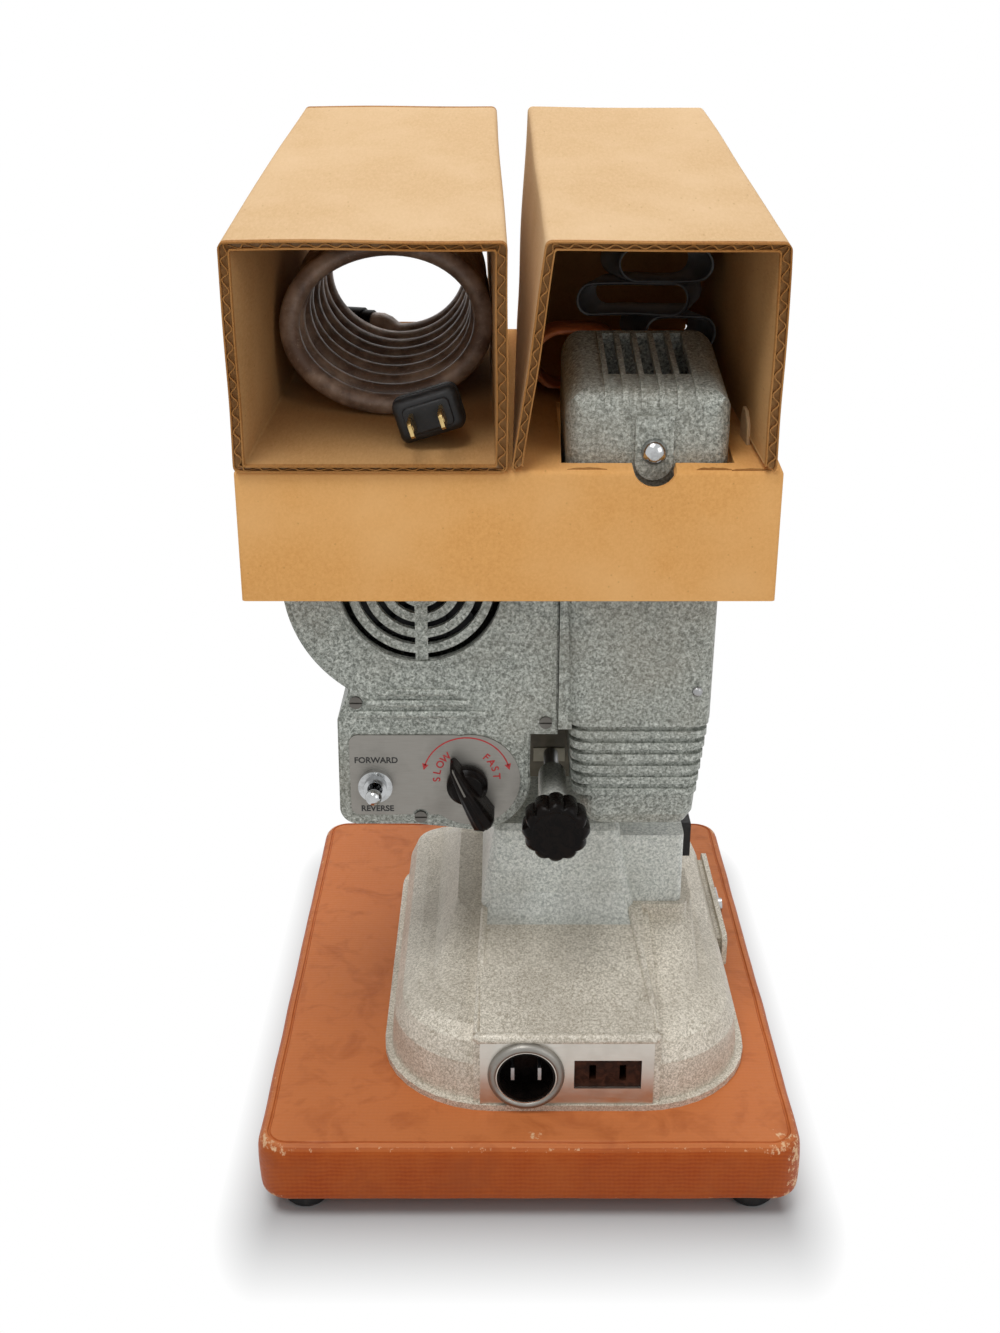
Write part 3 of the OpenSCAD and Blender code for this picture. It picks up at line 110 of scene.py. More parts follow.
def light_room():
    """Even white room light; the camera, gloss and glass see the room as plain white."""
    world = bpy.data.worlds.new("white_room")
    world.use_nodes = True
    tree = world.node_tree
    tree.nodes.clear()
    path = add(tree, "ShaderNodeLightPath")
    shown = add(tree, "ShaderNodeMath", {0: path.outputs["Is Camera Ray"], 1: path.outputs["Is Glossy Ray"]},
                operation="MAXIMUM")
    clear = add(tree, "ShaderNodeMath", {0: shown, 1: path.outputs["Is Transmission Ray"]},
                operation="MAXIMUM")
    room = add(tree, "ShaderNodeBackground", {"Color": (1, 1, 1, 1), "Strength": 0.4})
    white = add(tree, "ShaderNodeBackground", {"Color": (1, 1, 1, 1), "Strength": 1.0})
    mix = add(tree, "ShaderNodeMixShader", {0: clear, 1: room, 2: white})
    add(tree, "ShaderNodeOutputWorld", {"Surface": mix})
    scene.world = world
    soft_box("key_light", (-0.4, -0.6, 1.9), (0, 0, 0.2), (0.8, 0.8), 15)
    soft_box("fill_light", (1.1, -1.0, 0.9), (0, 0, 0.2), (0.9, 0.9), 4)
    soft_box("top_light", (0.1, 0.75, 1.65), (0, 0, 0.2), (0.7, 0.7), 9)


def lay_floor():
    """White paper sweep: the camera sees greyer paper round the case base, a painted contact shadow, fading to
    pure white.
    """
    painted_shadow_half = (0.112, 0.146, 0)
    faster_sideways = (2.0, 1.0, 0)
    fade = 0.055
    mesh = bpy.data.meshes.new("studio_floor")
    mesh.from_pydata([(-4, -4, 0), (4, -4, 0), (4, 5, 0), (-4, 5, 0)], [], [(0, 1, 2, 3)])
    floor = bpy.data.objects.new("studio_floor", mesh)
    scene.collection.objects.link(floor)
    paper = bpy.data.materials.new("white_paper")
    paper.use_nodes = True
    tree = paper.node_tree
    tree.nodes.clear()
    path = add(tree, "ShaderNodeLightPath")
    mirrored = add(tree, "ShaderNodeMath", {0: path.outputs["Is Glossy Ray"],
                                            1: path.outputs["Is Transmission Ray"]}, operation="MAXIMUM")
    seen = add(tree, "ShaderNodeMath", {0: path.outputs["Is Camera Ray"], 1: mirrored}, operation="MAXIMUM")
    lit = add(tree, "ShaderNodeBsdfDiffuse", {"Color": "#f6f6f6"})
    white = add(tree, "ShaderNodeEmission", {"Color": (1, 1, 1, 1), "Strength": 1.0})
    place = add(tree, "ShaderNodeTexCoord").outputs["Object"]
    from_middle = add(tree, "ShaderNodeVectorMath", {0: place}, operation="ABSOLUTE")
    past = add(tree, "ShaderNodeVectorMath", {0: from_middle, 1: painted_shadow_half}, operation="SUBTRACT")
    outside = add(tree, "ShaderNodeVectorMath", {0: past, 1: (0, 0, 0)}, operation="MAXIMUM")
    weighed = add(tree, "ShaderNodeVectorMath", {0: outside, 1: faster_sideways}, operation="MULTIPLY")
    reach = add(tree, "ShaderNodeVectorMath", {0: weighed}, operation="LENGTH")
    away = add(tree, "ShaderNodeMapRange", {0: reach.outputs["Value"], 1: 0.0, 2: fade, 3: 0.0, 4: 1.0})
    # Painted contact shadow: the camera sees a greyer paper colour in a band round the case base
    painted_contact_shadow = add(tree, "ShaderNodeBsdfDiffuse", {"Color": "#b9bbbc"})
    sweep = add(tree, "ShaderNodeMixShader", {0: away, 1: painted_contact_shadow, 2: white})
    mix = add(tree, "ShaderNodeMixShader", {0: seen, 1: lit, 2: sweep})
    add(tree, "ShaderNodeOutputMaterial", {"Surface": mix})
    mesh.materials.append(paper)


place_camera()
light_room()
lay_floor()


# Finishes. Each function returns one material, made from node settings alone.

def per_mm(size):
    """Texture scale at which one cell of the pattern is about this many millimetres across."""
    return 1 / (size * MM)


def start_finish(name):
    """An empty material, its node tree and its object coordinates."""
    finish = bpy.data.materials.new(name)
    finish.use_nodes = True
    tree = finish.node_tree
    tree.nodes.clear()
    return finish, tree, add(tree, "ShaderNodeTexCoord").outputs["Object"]


def hammertone_enamel(name, pit, body, flake, worms=0.5, painted_glint_amount=0.8, cell=1.35, tone="#8d8373"):
    """Stoved hammertone enamel on a casting: mottled aluminium flake with painted glints on its brightest
    spots, and thin winding furrows.
    """
    finish, tree, place = start_finish(name)
    crust = add(tree, "ShaderNodeTexNoise", {"Vector": place, "Scale": per_mm(cell), "Detail": 5,
                                             "Roughness": 0.75, "Distortion": 0.5})
    mottled = add(tree, "ShaderNodeMapRange", {0: crust, 1: 0.38, 2: 0.56, 3: 0.0, 4: 1.0})
    base = add(tree, "ShaderNodeMix", {0: mottled, 6: pit, 7: body}, data_type="RGBA")
    # Lighter spots: partly the aluminium flake's own silver, partly painted glint
    flake_and_painted_glints = add(tree, "ShaderNodeMapRange", {0: crust, 1: 0.55, 2: 0.66, 3: 0.0, 4: painted_glint_amount})
    bright = add(tree, "ShaderNodeMix", {0: flake_and_painted_glints, 6: base, 7: flake}, data_type="RGBA")
    bend = add(tree, "ShaderNodeTexNoise", {"Vector": place, "Scale": per_mm(3.4), "Detail": 2,
                                            "Distortion": 1.3})
    off_line = add(tree, "ShaderNodeMath", {0: bend, 1: 0.5}, operation="SUBTRACT")
    beside = add(tree, "ShaderNodeMath", {0: off_line}, operation="ABSOLUTE")
    furrow = add(tree, "ShaderNodeMapRange", {0: beside, 1: 0.002, 2: 0.034, 3: worms, 4: 0.0},
                 interpolation_type="SMOOTHSTEP")
    lined = add(tree, "ShaderNodeMix", {0: furrow, 6: bright, 7: pit}, data_type="RGBA")
    age = add(tree, "ShaderNodeTexNoise", {"Vector": place, "Scale": per_mm(48), "Detail": 3})
    grime = add(tree, "ShaderNodeMapRange", {0: age, 1: 0.42, 2: 0.7, 3: 0.0, 4: 0.35})
    colour = add(tree, "ShaderNodeMix", {0: grime, 6: lined, 7: tone}, data_type="RGBA")
    gloss = add(tree, "ShaderNodeMapRange", {0: crust, 1: 0.3, 2: 0.7, 3: 0.38, 4: 0.55})
    low = add(tree, "ShaderNodeBump", {"Strength": 0.6, "Distance": 0.12 * MM, "Height": crust})
    high = add(tree, "ShaderNodeBump", {"Strength": 0.5, "Distance": 0.16 * MM, "Height": beside,
                                        "Normal": low})
    shader = add(tree, "ShaderNodeBsdfPrincipled", {"Base Color": colour, "Metallic": 0.12,
                                                    "Roughness": gloss, "Normal": high,
                                                    "Specular IOR Level": 0.35})
    add(tree, "ShaderNodeOutputMaterial", {"Surface": shader})
    return finish


def satin_metal(name, metal, stain, roughness=0.35, grain=0.35, along=(1, 0.06, 1)):
    """Rolled or turned metal, lightly brushed: long fine scratches one way and a few darker stains."""
    finish, tree, place = start_finish(name)
    stretched = add(tree, "ShaderNodeMapping", {"Vector": place, "Scale": along})
    lines = add(tree, "ShaderNodeTexNoise", {"Vector": stretched, "Scale": per_mm(grain), "Detail": 2})
    blots = add(tree, "ShaderNodeTexNoise", {"Vector": place, "Scale": per_mm(14), "Detail": 3})
    stained = add(tree, "ShaderNodeMapRange", {0: blots, 1: 0.48, 2: 0.75, 3: 0.0, 4: 0.4})
    colour = add(tree, "ShaderNodeMix", {0: stained, 6: metal, 7: stain}, data_type="RGBA")
    gloss = add(tree, "ShaderNodeMapRange", {0: lines, 1: 0.3, 2: 0.7, 3: roughness - 0.07,
                                             4: roughness + 0.1})
    bump = add(tree, "ShaderNodeBump", {"Strength": 0.3, "Distance": 0.02 * MM, "Height": lines})
    shader = add(tree, "ShaderNodeBsdfPrincipled", {"Base Color": colour, "Metallic": 1.0,
                                                    "Roughness": gloss, "Normal": bump})
    add(tree, "ShaderNodeOutputMaterial", {"Surface": shader})
    return finish


def chrome_plate(name):
    """Chrome plate on turned brass: mirror bright, with faint wipe marks and dull specks."""
    finish, tree, place = start_finish(name)
    wipes = add(tree, "ShaderNodeTexNoise", {"Vector": place, "Scale": per_mm(5), "Detail": 4,
                                             "Roughness": 0.6})
    dull = add(tree, "ShaderNodeMapRange", {0: wipes, 1: 0.45, 2: 0.75, 3: 0.0, 4: 0.55})
    colour = add(tree, "ShaderNodeMix", {0: dull, 6: "#b9bbbc", 7: "#716e69"}, data_type="RGBA")
    gloss = add(tree, "ShaderNodeMapRange", {0: wipes, 1: 0.3, 2: 0.7, 3: 0.08, 4: 0.24})
    bump = add(tree, "ShaderNodeBump", {"Strength": 0.2, "Distance": 0.02 * MM, "Height": wipes})
    shader = add(tree, "ShaderNodeBsdfPrincipled", {"Base Color": colour, "Metallic": 1.0,
                                                    "Roughness": gloss, "Normal": bump})
    add(tree, "ShaderNodeOutputMaterial", {"Surface": shader})
    return finish


def tarnished_brass(name):
    """Stamped brass gone dull: brown tarnish in patches over yellow metal."""
    finish, tree, place = start_finish(name)
    tarnish = add(tree, "ShaderNodeTexNoise", {"Vector": place, "Scale": per_mm(4), "Detail": 4,
                                               "Roughness": 0.6})
    patches = add(tree, "ShaderNodeMapRange", {0: tarnish, 1: 0.4, 2: 0.68, 3: 0.0, 4: 1.0})
    colour = add(tree, "ShaderNodeMix", {0: patches, 6: "#cdb37c", 7: "#8d7243"}, data_type="RGBA")
    gloss = add(tree, "ShaderNodeMapRange", {0: tarnish, 1: 0.3, 2: 0.7, 3: 0.2, 4: 0.4})
    bump = add(tree, "ShaderNodeBump", {"Strength": 0.3, "Distance": 0.03 * MM, "Height": tarnish})
    shader = add(tree, "ShaderNodeBsdfPrincipled", {"Base Color": colour, "Metallic": 1.0,
                                                    "Roughness": gloss, "Normal": bump})
    add(tree, "ShaderNodeOutputMaterial", {"Surface": shader})
    return finish


def moulded_phenolic(name, dark, filler, shine=0.2):
    """Compression-moulded phenolic: near black with faint brown wood-flour streaks and a worn polish."""
    finish, tree, place = start_finish(name)
    flour = add(tree, "ShaderNodeTexNoise", {"Vector": place, "Scale": per_mm(5), "Detail": 5,
                                             "Roughness": 0.65, "Distortion": 1.2})
    streaks = add(tree, "ShaderNodeMapRange", {0: flour, 1: 0.42, 2: 0.7, 3: 0.0, 4: 1.0})
    colour = add(tree, "ShaderNodeMix", {0: streaks, 6: dark, 7: filler}, data_type="RGBA")
    gloss = add(tree, "ShaderNodeMapRange", {0: flour, 1: 0.3, 2: 0.7, 3: shine, 4: shine + 0.16})
    ripple = add(tree, "ShaderNodeTexNoise", {"Vector": place, "Scale": per_mm(1.1), "Detail": 2})
    bump = add(tree, "ShaderNodeBump", {"Strength": 0.2, "Distance": 0.03 * MM, "Height": ripple})
    shader = add(tree, "ShaderNodeBsdfPrincipled", {"Base Color": colour, "Roughness": gloss, "IOR": 1.5,
                                                    "Normal": bump,
                                                    "Specular IOR Level": 0.08})
    add(tree, "ShaderNodeOutputMaterial", {"Surface": shader})
    return finish


def vulcanised_rubber(name, black, dusty):
    """Vulcanised rubber: nearly matt, with pale dust held in its pores."""
    finish, tree, place = start_finish(name)
    pores = add(tree, "ShaderNodeTexNoise", {"Vector": place, "Scale": per_mm(3), "Detail": 5,
                                             "Roughness": 0.65})
    dust = add(tree, "ShaderNodeMapRange", {0: pores, 1: 0.48, 2: 0.75, 3: 0.0, 4: 1.0})
    colour = add(tree, "ShaderNodeMix", {0: dust, 6: black, 7: dusty}, data_type="RGBA")
    gloss = add(tree, "ShaderNodeMapRange", {0: pores, 1: 0.3, 2: 0.7, 3: 0.42, 4: 0.7})
    skin_grain = add(tree, "ShaderNodeTexNoise", {"Vector": place, "Scale": per_mm(0.7), "Detail": 3})
    bump = add(tree, "ShaderNodeBump", {"Strength": 0.4, "Distance": 0.06 * MM, "Height": skin_grain})
    shader = add(tree, "ShaderNodeBsdfPrincipled", {"Base Color": colour, "Roughness": gloss, "IOR": 1.52,
                                                    "Normal": bump,
                                                    "Specular IOR Level": 0.35})
    add(tree, "ShaderNodeOutputMaterial", {"Surface": shader})
    return finish


def brushed_lacquer(name, dark, light):
    """Brushed-on lacquer over iron or sheet metal: low gloss with faint brush marks."""
    finish, tree, place = start_finish(name)
    marks = add(tree, "ShaderNodeTexNoise", {"Vector": place, "Scale": per_mm(6), "Detail": 4})
    spread = add(tree, "ShaderNodeMapRange", {0: marks, 1: 0.4, 2: 0.7, 3: 0.0, 4: 1.0})
    colour = add(tree, "ShaderNodeMix", {0: spread, 6: dark, 7: light}, data_type="RGBA")
    gloss = add(tree, "ShaderNodeMapRange", {0: marks, 1: 0.3, 2: 0.7, 3: 0.4, 4: 0.6})
    bump = add(tree, "ShaderNodeBump", {"Strength": 0.3, "Distance": 0.05 * MM, "Height": marks})
    shader = add(tree, "ShaderNodeBsdfPrincipled", {"Base Color": colour, "Metallic": 0.2,
                                                    "Roughness": gloss, "Normal": bump})
    add(tree, "ShaderNodeOutputMaterial", {"Surface": shader})
    return finish


def ground_glass(name):
    """Ground and polished glass: clear, with a faint film of dust."""
    finish, tree, place = start_finish(name)
    film = add(tree, "ShaderNodeTexNoise", {"Vector": place, "Scale": per_mm(9), "Detail": 3})
    haze = add(tree, "ShaderNodeMapRange", {0: film, 1: 0.4, 2: 0.8, 3: 0.0, 4: 1.0})
    colour = add(tree, "ShaderNodeMix", {0: haze, 6: "#f3f7f8", 7: "#dfe6e6"}, data_type="RGBA")
    gloss = add(tree, "ShaderNodeMapRange", {0: film, 1: 0.3, 2: 0.8, 3: 0.02, 4: 0.12})
    shader = add(tree, "ShaderNodeBsdfPrincipled", {"Base Color": colour, "Roughness": gloss, "IOR": 1.52,
                                                    "Transmission Weight": 0.92})
    add(tree, "ShaderNodeOutputMaterial", {"Surface": shader})
    return finish


def kraft_board(name, face, shade, pale, speck, flute=7.0):
    """Kraft liner on corrugated board: short fibres, cloudy tone and brown specks.

    A hint of the flutes below shows through it, 7 mm apart.
    """
    finish, tree, place = start_finish(name)
    stretched = add(tree, "ShaderNodeMapping", {"Vector": place, "Scale": (1, 0.3, 1)})
    fibres = add(tree, "ShaderNodeTexNoise", {"Vector": stretched, "Scale": per_mm(1.1), "Detail": 4,
                                              "Roughness": 0.7})
    fibrous = add(tree, "ShaderNodeMapRange", {0: fibres, 1: 0.3, 2: 0.7, 3: 0.0, 4: 1.0})
    base = add(tree, "ShaderNodeMix", {0: fibrous, 6: shade, 7: face}, data_type="RGBA")
    cloud = add(tree, "ShaderNodeTexNoise", {"Vector": place, "Scale": per_mm(42), "Detail": 3})
    cloudy = add(tree, "ShaderNodeMapRange", {0: cloud, 1: 0.4, 2: 0.72, 3: 0.0, 4: 0.6})
    toned = add(tree, "ShaderNodeMix", {0: cloudy, 6: base, 7: pale}, data_type="RGBA")
    chips = add(tree, "ShaderNodeTexVoronoi", {"Vector": stretched, "Scale": per_mm(5)})
    chipped = add(tree, "ShaderNodeMapRange", {0: chips, 1: 0.0, 2: 0.11, 3: 0.5, 4: 0.0})
    colour = add(tree, "ShaderNodeMix", {0: chipped, 6: toned, 7: speck}, data_type="RGBA")
    flutes = add(tree, "ShaderNodeTexWave", {"Vector": place, "Scale": per_mm(flute) / (2 * math.pi),
                                             "Distortion": 0.5},
                 wave_type="BANDS", bands_direction="X")
    wide = add(tree, "ShaderNodeBump", {"Strength": 0.1, "Distance": 0.12 * MM,
                                        "Height": flutes.outputs["Fac"]})
    bump = add(tree, "ShaderNodeBump", {"Strength": 0.35, "Distance": 0.05 * MM, "Height": fibres,
                                        "Normal": wide})
    shader = add(tree, "ShaderNodeBsdfPrincipled", {"Base Color": colour, "Roughness": 0.86, "Normal": bump,
                                                    "Specular IOR Level": 0.2})
    add(tree, "ShaderNodeOutputMaterial", {"Surface": shader})
    return finish


def coated_book_cloth(name, thread=1.1):
    """Pyroxylin-coated book cloth over wood: orange brown, paler on faces that look up, and rubbed pale at its
    edges.

    Its threads lie 1.1 mm apart, coarser than the real ones, so that the rows show.
    """
    finish, tree, place = start_finish(name)
    where = add(tree, "ShaderNodeSeparateXYZ", {0: place})
    facing = add(tree, "ShaderNodeSeparateXYZ", {0: add(tree,
                                                        "ShaderNodeNewGeometry").outputs["True Normal"]})
    sideways = add(tree, "ShaderNodeMath", {0: facing.outputs["X"]}, operation="ABSOLUTE")
    side = add(tree, "ShaderNodeMath", {0: sideways, 1: 0.7}, operation="GREATER_THAN")
    down = add(tree, "ShaderNodeMath", {0: where.outputs["Y"], 1: where.outputs["Z"]}, operation="ADD")
    rows = add(tree, "ShaderNodeMix", {0: side, 2: down, 3: where.outputs["Z"]})
    columns = add(tree, "ShaderNodeMix", {0: side, 2: where.outputs["X"], 3: where.outputs["Y"]})
    cloth = add(tree, "ShaderNodeCombineXYZ", {0: columns, 1: rows})
    weft = add(tree, "ShaderNodeTexWave", {"Vector": cloth, "Scale": per_mm(thread) / (2 * math.pi),
                                           "Distortion": 3.0, "Detail": 3},
               wave_type="BANDS", bands_direction="Y")
    warp = add(tree, "ShaderNodeTexWave", {"Vector": cloth, "Scale": per_mm(thread) / (2 * math.pi),
                                           "Distortion": 4.5, "Detail": 3},
               wave_type="BANDS", bands_direction="X")
    weave = add(tree, "ShaderNodeMix", {0: 0.25, 2: weft.outputs["Fac"], 3: warp.outputs["Fac"]})
    woven = add(tree, "ShaderNodeMapRange", {0: weave, 1: 0.15, 2: 0.85, 3: 0.0, 4: 1.0})
    base = add(tree, "ShaderNodeMix", {0: woven, 6: "#9a400c", 7: "#a84c14"}, data_type="RGBA")
    mottle = add(tree, "ShaderNodeTexNoise", {"Vector": place, "Scale": per_mm(34), "Detail": 5,
                                              "Roughness": 0.6})
    mottled = add(tree, "ShaderNodeMapRange", {0: mottle, 1: 0.38, 2: 0.68, 3: 0.0, 4: 0.75})
    toned = add(tree, "ShaderNodeMix", {0: mottled, 6: base, 7: "#b05a22"}, data_type="RGBA")
    # Faces that look up are mixed towards a paler tone
    facing_up_amount = add(tree, "ShaderNodeMapRange", {0: facing.outputs["Z"], 1: 0.5, 2: 0.95, 3: 0.0, 4: 0.66})
    paler_facing_up = add(tree, "ShaderNodeMix", {0: facing_up_amount, 6: toned, 7: "#d5834d"}, data_type="RGBA")
    blots = add(tree, "ShaderNodeTexNoise", {"Vector": place, "Scale": per_mm(18), "Detail": 3,
                                             "Roughness": 0.6, "Distortion": 0.6})
    blotted = add(tree, "ShaderNodeMapRange", {0: blots, 1: 0.5, 2: 0.72, 3: 0.0, 4: 0.45})
    deep = add(tree, "ShaderNodeMix", {0: blotted, 6: paler_facing_up, 7: "#94441a"}, data_type="RGBA")
    scuffs = add(tree, "ShaderNodeTexNoise", {"Vector": place, "Scale": per_mm(3.2), "Detail": 5,
                                              "Roughness": 0.75})
    worn = add(tree, "ShaderNodeAttribute", attribute_name="rub")
    rubbed = add(tree, "ShaderNodeMath", {0: scuffs, 1: worn.outputs["Fac"]}, operation="MULTIPLY")
    bare = add(tree, "ShaderNodeMapRange", {0: rubbed, 1: 0.58, 2: 0.68, 3: 0.0, 4: 0.85})
    colour = add(tree, "ShaderNodeMix", {0: bare, 6: deep, 7: "#e3bd94"}, data_type="RGBA")
    gloss = add(tree, "ShaderNodeMapRange", {0: scuffs, 1: 0.3, 2: 0.7, 3: 0.4, 4: 0.62})
    low = add(tree, "ShaderNodeBump", {"Strength": 0.5, "Distance": 0.1 * MM, "Height": weave})
    bump = add(tree, "ShaderNodeBump", {"Strength": 0.25, "Distance": 0.2 * MM, "Height": blots,
                                        "Normal": low})
    shader = add(tree, "ShaderNodeBsdfPrincipled", {"Base Color": colour, "Roughness": gloss, "IOR": 1.48,
                                                    "Normal": bump,
                                                    "Specular IOR Level": 0.22})
    add(tree, "ShaderNodeOutputMaterial", {"Surface": shader})
    return finish


def jacket_rubber(name):
    """Rubber jacket of an old mains cord: dark brown, with a grey-brown bloom and pale scuffs."""
    finish, tree, place = start_finish(name)
    bloom = add(tree, "ShaderNodeTexNoise", {"Vector": place, "Scale": per_mm(16), "Detail": 4,
                                             "Roughness": 0.6})
    bloomed = add(tree, "ShaderNodeMapRange", {0: bloom, 1: 0.42, 2: 0.68, 3: 0.0, 4: 1.0})
    base = add(tree, "ShaderNodeMix", {0: bloomed, 6: "#725d50", 7: "#b9a28f"}, data_type="RGBA")
    scuffs = add(tree, "ShaderNodeTexNoise", {"Vector": place, "Scale": per_mm(1.8), "Detail": 5,
                                              "Roughness": 0.75})
    scuffed = add(tree, "ShaderNodeMapRange", {0: scuffs, 1: 0.58, 2: 0.76, 3: 0.0, 4: 0.7})
    colour = add(tree, "ShaderNodeMix", {0: scuffed, 6: base, 7: "#c9b6a3"}, data_type="RGBA")
    gloss = add(tree, "ShaderNodeMapRange", {0: scuffs, 1: 0.3, 2: 0.7, 3: 0.34, 4: 0.58})
    bump = add(tree, "ShaderNodeBump", {"Strength": 0.4, "Distance": 0.1 * MM, "Height": scuffs})
    shader = add(tree, "ShaderNodeBsdfPrincipled", {"Base Color": colour, "Roughness": gloss, "IOR": 1.52,
                                                    "Normal": bump})
    add(tree, "ShaderNodeOutputMaterial", {"Surface": shader})
    return finish


def waxed_leather(name):
    """Vegetable-tanned leather, waxed: red brown with fine pores, darker in its creases."""
    finish, tree, place = start_finish(name)
    pores = add(tree, "ShaderNodeTexVoronoi", {"Vector": place, "Scale": per_mm(0.9)}, feature="SMOOTH_F1")
    creases = add(tree, "ShaderNodeTexNoise", {"Vector": place, "Scale": per_mm(9), "Detail": 5,
                                               "Roughness": 0.65, "Distortion": 0.8})
    rub = add(tree, "ShaderNodeMapRange", {0: creases, 1: 0.35, 2: 0.7, 3: 0.0, 4: 1.0})
    colour = add(tree, "ShaderNodeMix", {0: rub, 6: "#b0572b", 7: "#e08f5a"}, data_type="RGBA")
    gloss = add(tree, "ShaderNodeMapRange", {0: creases, 1: 0.3, 2: 0.7, 3: 0.35, 4: 0.55})
    low = add(tree, "ShaderNodeBump", {"Strength": 0.3, "Distance": 0.3 * MM, "Height": creases})
    bump = add(tree, "ShaderNodeBump", {"Strength": 0.4, "Distance": 0.1 * MM, "Height": pores,
                                        "Normal": low})
    shader = add(tree, "ShaderNodeBsdfPrincipled", {"Base Color": colour, "Roughness": gloss, "Normal": bump})
    add(tree, "ShaderNodeOutputMaterial", {"Surface": shader})
    return finish


def rubbered_webbing(name, rib=1.3):
    """Woven band dipped in rubber: black with ribs 1.3 mm apart and a dull grey sheen where it bends."""
    finish, tree, place = start_finish(name)
    ribs = add(tree, "ShaderNodeTexWave", {"Vector": place, "Scale": per_mm(rib) / (2 * math.pi),
                                           "Distortion": 0.5},
               wave_type="BANDS", bands_direction="Y")
    lint = add(tree, "ShaderNodeTexNoise", {"Vector": place, "Scale": per_mm(4), "Detail": 4,
                                            "Roughness": 0.7})
    faded = add(tree, "ShaderNodeMapRange", {0: lint, 1: 0.45, 2: 0.75, 3: 0.0, 4: 1.0})
    colour = add(tree, "ShaderNodeMix", {0: faded, 6: "#141518", 7: "#3c3e42"}, data_type="RGBA")
    gloss = add(tree, "ShaderNodeMapRange", {0: lint, 1: 0.3, 2: 0.7, 3: 0.36, 4: 0.52})
    bump = add(tree, "ShaderNodeBump", {"Strength": 0.3, "Distance": 0.1 * MM, "Height": ribs.outputs["Fac"]})
    shader = add(tree, "ShaderNodeBsdfPrincipled", {"Base Color": colour, "Roughness": gloss,
                                                    "Sheen Weight": 0.3, "Normal": bump})
    add(tree, "ShaderNodeOutputMaterial", {"Surface": shader})
    return finish


def screen_ink(name, ink, plate="#9a9891"):
    """Screen-printed enamel ink: flat, slightly broken where the plate's grain shows through."""
    finish, tree, place = start_finish(name)
    grain = add(tree, "ShaderNodeTexNoise", {"Vector": place, "Scale": per_mm(0.8), "Detail": 3,
                                             "Roughness": 0.7})
    broken = add(tree, "ShaderNodeMapRange", {0: grain, 1: 0.58, 2: 0.8, 3: 0.0, 4: 0.6})
    colour = add(tree, "ShaderNodeMix", {0: broken, 6: ink, 7: plate}, data_type="RGBA")
    bump = add(tree, "ShaderNodeBump", {"Strength": 0.2, "Distance": 0.02 * MM, "Height": grain})
    shader = add(tree, "ShaderNodeBsdfPrincipled", {"Base Color": colour, "Roughness": 0.5, "Normal": bump})
    add(tree, "ShaderNodeOutputMaterial", {"Surface": shader})
    return finish


BASE_ENAMEL = hammertone_enamel("base_hammertone", "#aaa190", "#ebe4d6", "#faf6ec", 0.95, 0.3, 1.0)
HEAD_ENAMEL = hammertone_enamel("head_hammertone", "#62665f", "#b3b7af", "#e0e3dc", 0.3, 0.85)
PEDESTAL_ENAMEL = hammertone_enamel("pedestal_hammertone", "#a3a8a3", "#e6e8e1", "#f6f7f2", 0.5, 0.5)
STEEL = satin_metal("satin_steel", "#a9aaab", "#6e6c68")
OLD_STEEL = satin_metal("aged_steel", "#6c6964", "#3e3b37", 0.38)
PLATE = satin_metal("satin_aluminium", "#8f8c86", "#6d6963", 0.45, 0.5, (0.06, 1, 1))
BRIGHT_PLATE = satin_metal("bright_aluminium", "#cbc6bd", "#a39d93", 0.36, 0.5, (0.06, 1, 1))
CHROME = chrome_plate("chrome_plate")
BRASS = tarnished_brass("tarnished_brass")
PHENOLIC = moulded_phenolic("black_phenolic", "#0c0908", "#17110e")
SOCKET_PHENOLIC = moulded_phenolic("brown_phenolic", "#2a1811", "#4a2c20", 0.3)
RUBBER = vulcanised_rubber("black_rubber", "#121213", "#2c2a29")
IRON = brushed_lacquer("motor_lacquer", "#141516", "#222426")
BLACK = brushed_lacquer("black_lacquer", "#0e0e0f", "#19191a")
TAUPE = brushed_lacquer("taupe_lacquer", "#6a6355", "#857d6c")
PALE_TAUPE = brushed_lacquer("pale_taupe_lacquer", "#a8a18e", "#bdb7a4")
GLASS = ground_glass("clear_glass")
BOARD = kraft_board("kraft_board", "#d3b288", "#c7a478", "#dabb94", "#9f7a4a")
TRAY_BOARD = kraft_board("warm_kraft_board", "#e6ad69", "#d99d58", "#ebb87a", "#a97a3e")
# Darker copy of the kraft board for the tubes' inner faces and the end wall deep in the right tube: painted
# shade
BOARD_PAINTED_SHADE = kraft_board("kraft_board_inside_painted_shade", "#bd925f", "#ad8250", "#c69c69", "#8c6236")
BOARD_EDGE = kraft_board("cut_kraft_edge", "#a8743c", "#8a5a2b", "#b98a54", "#6e4620")
BOOK_CLOTH = coated_book_cloth("coated_book_cloth")
CORD = jacket_rubber("brown_cord_rubber")
STRAP = waxed_leather("waxed_strap_leather")
WEBBING = rubbered_webbing("black_webbing")
RED_INK = screen_ink("red_ink", "#b02226")
BLACK_INK = screen_ink("black_ink", "#171615")

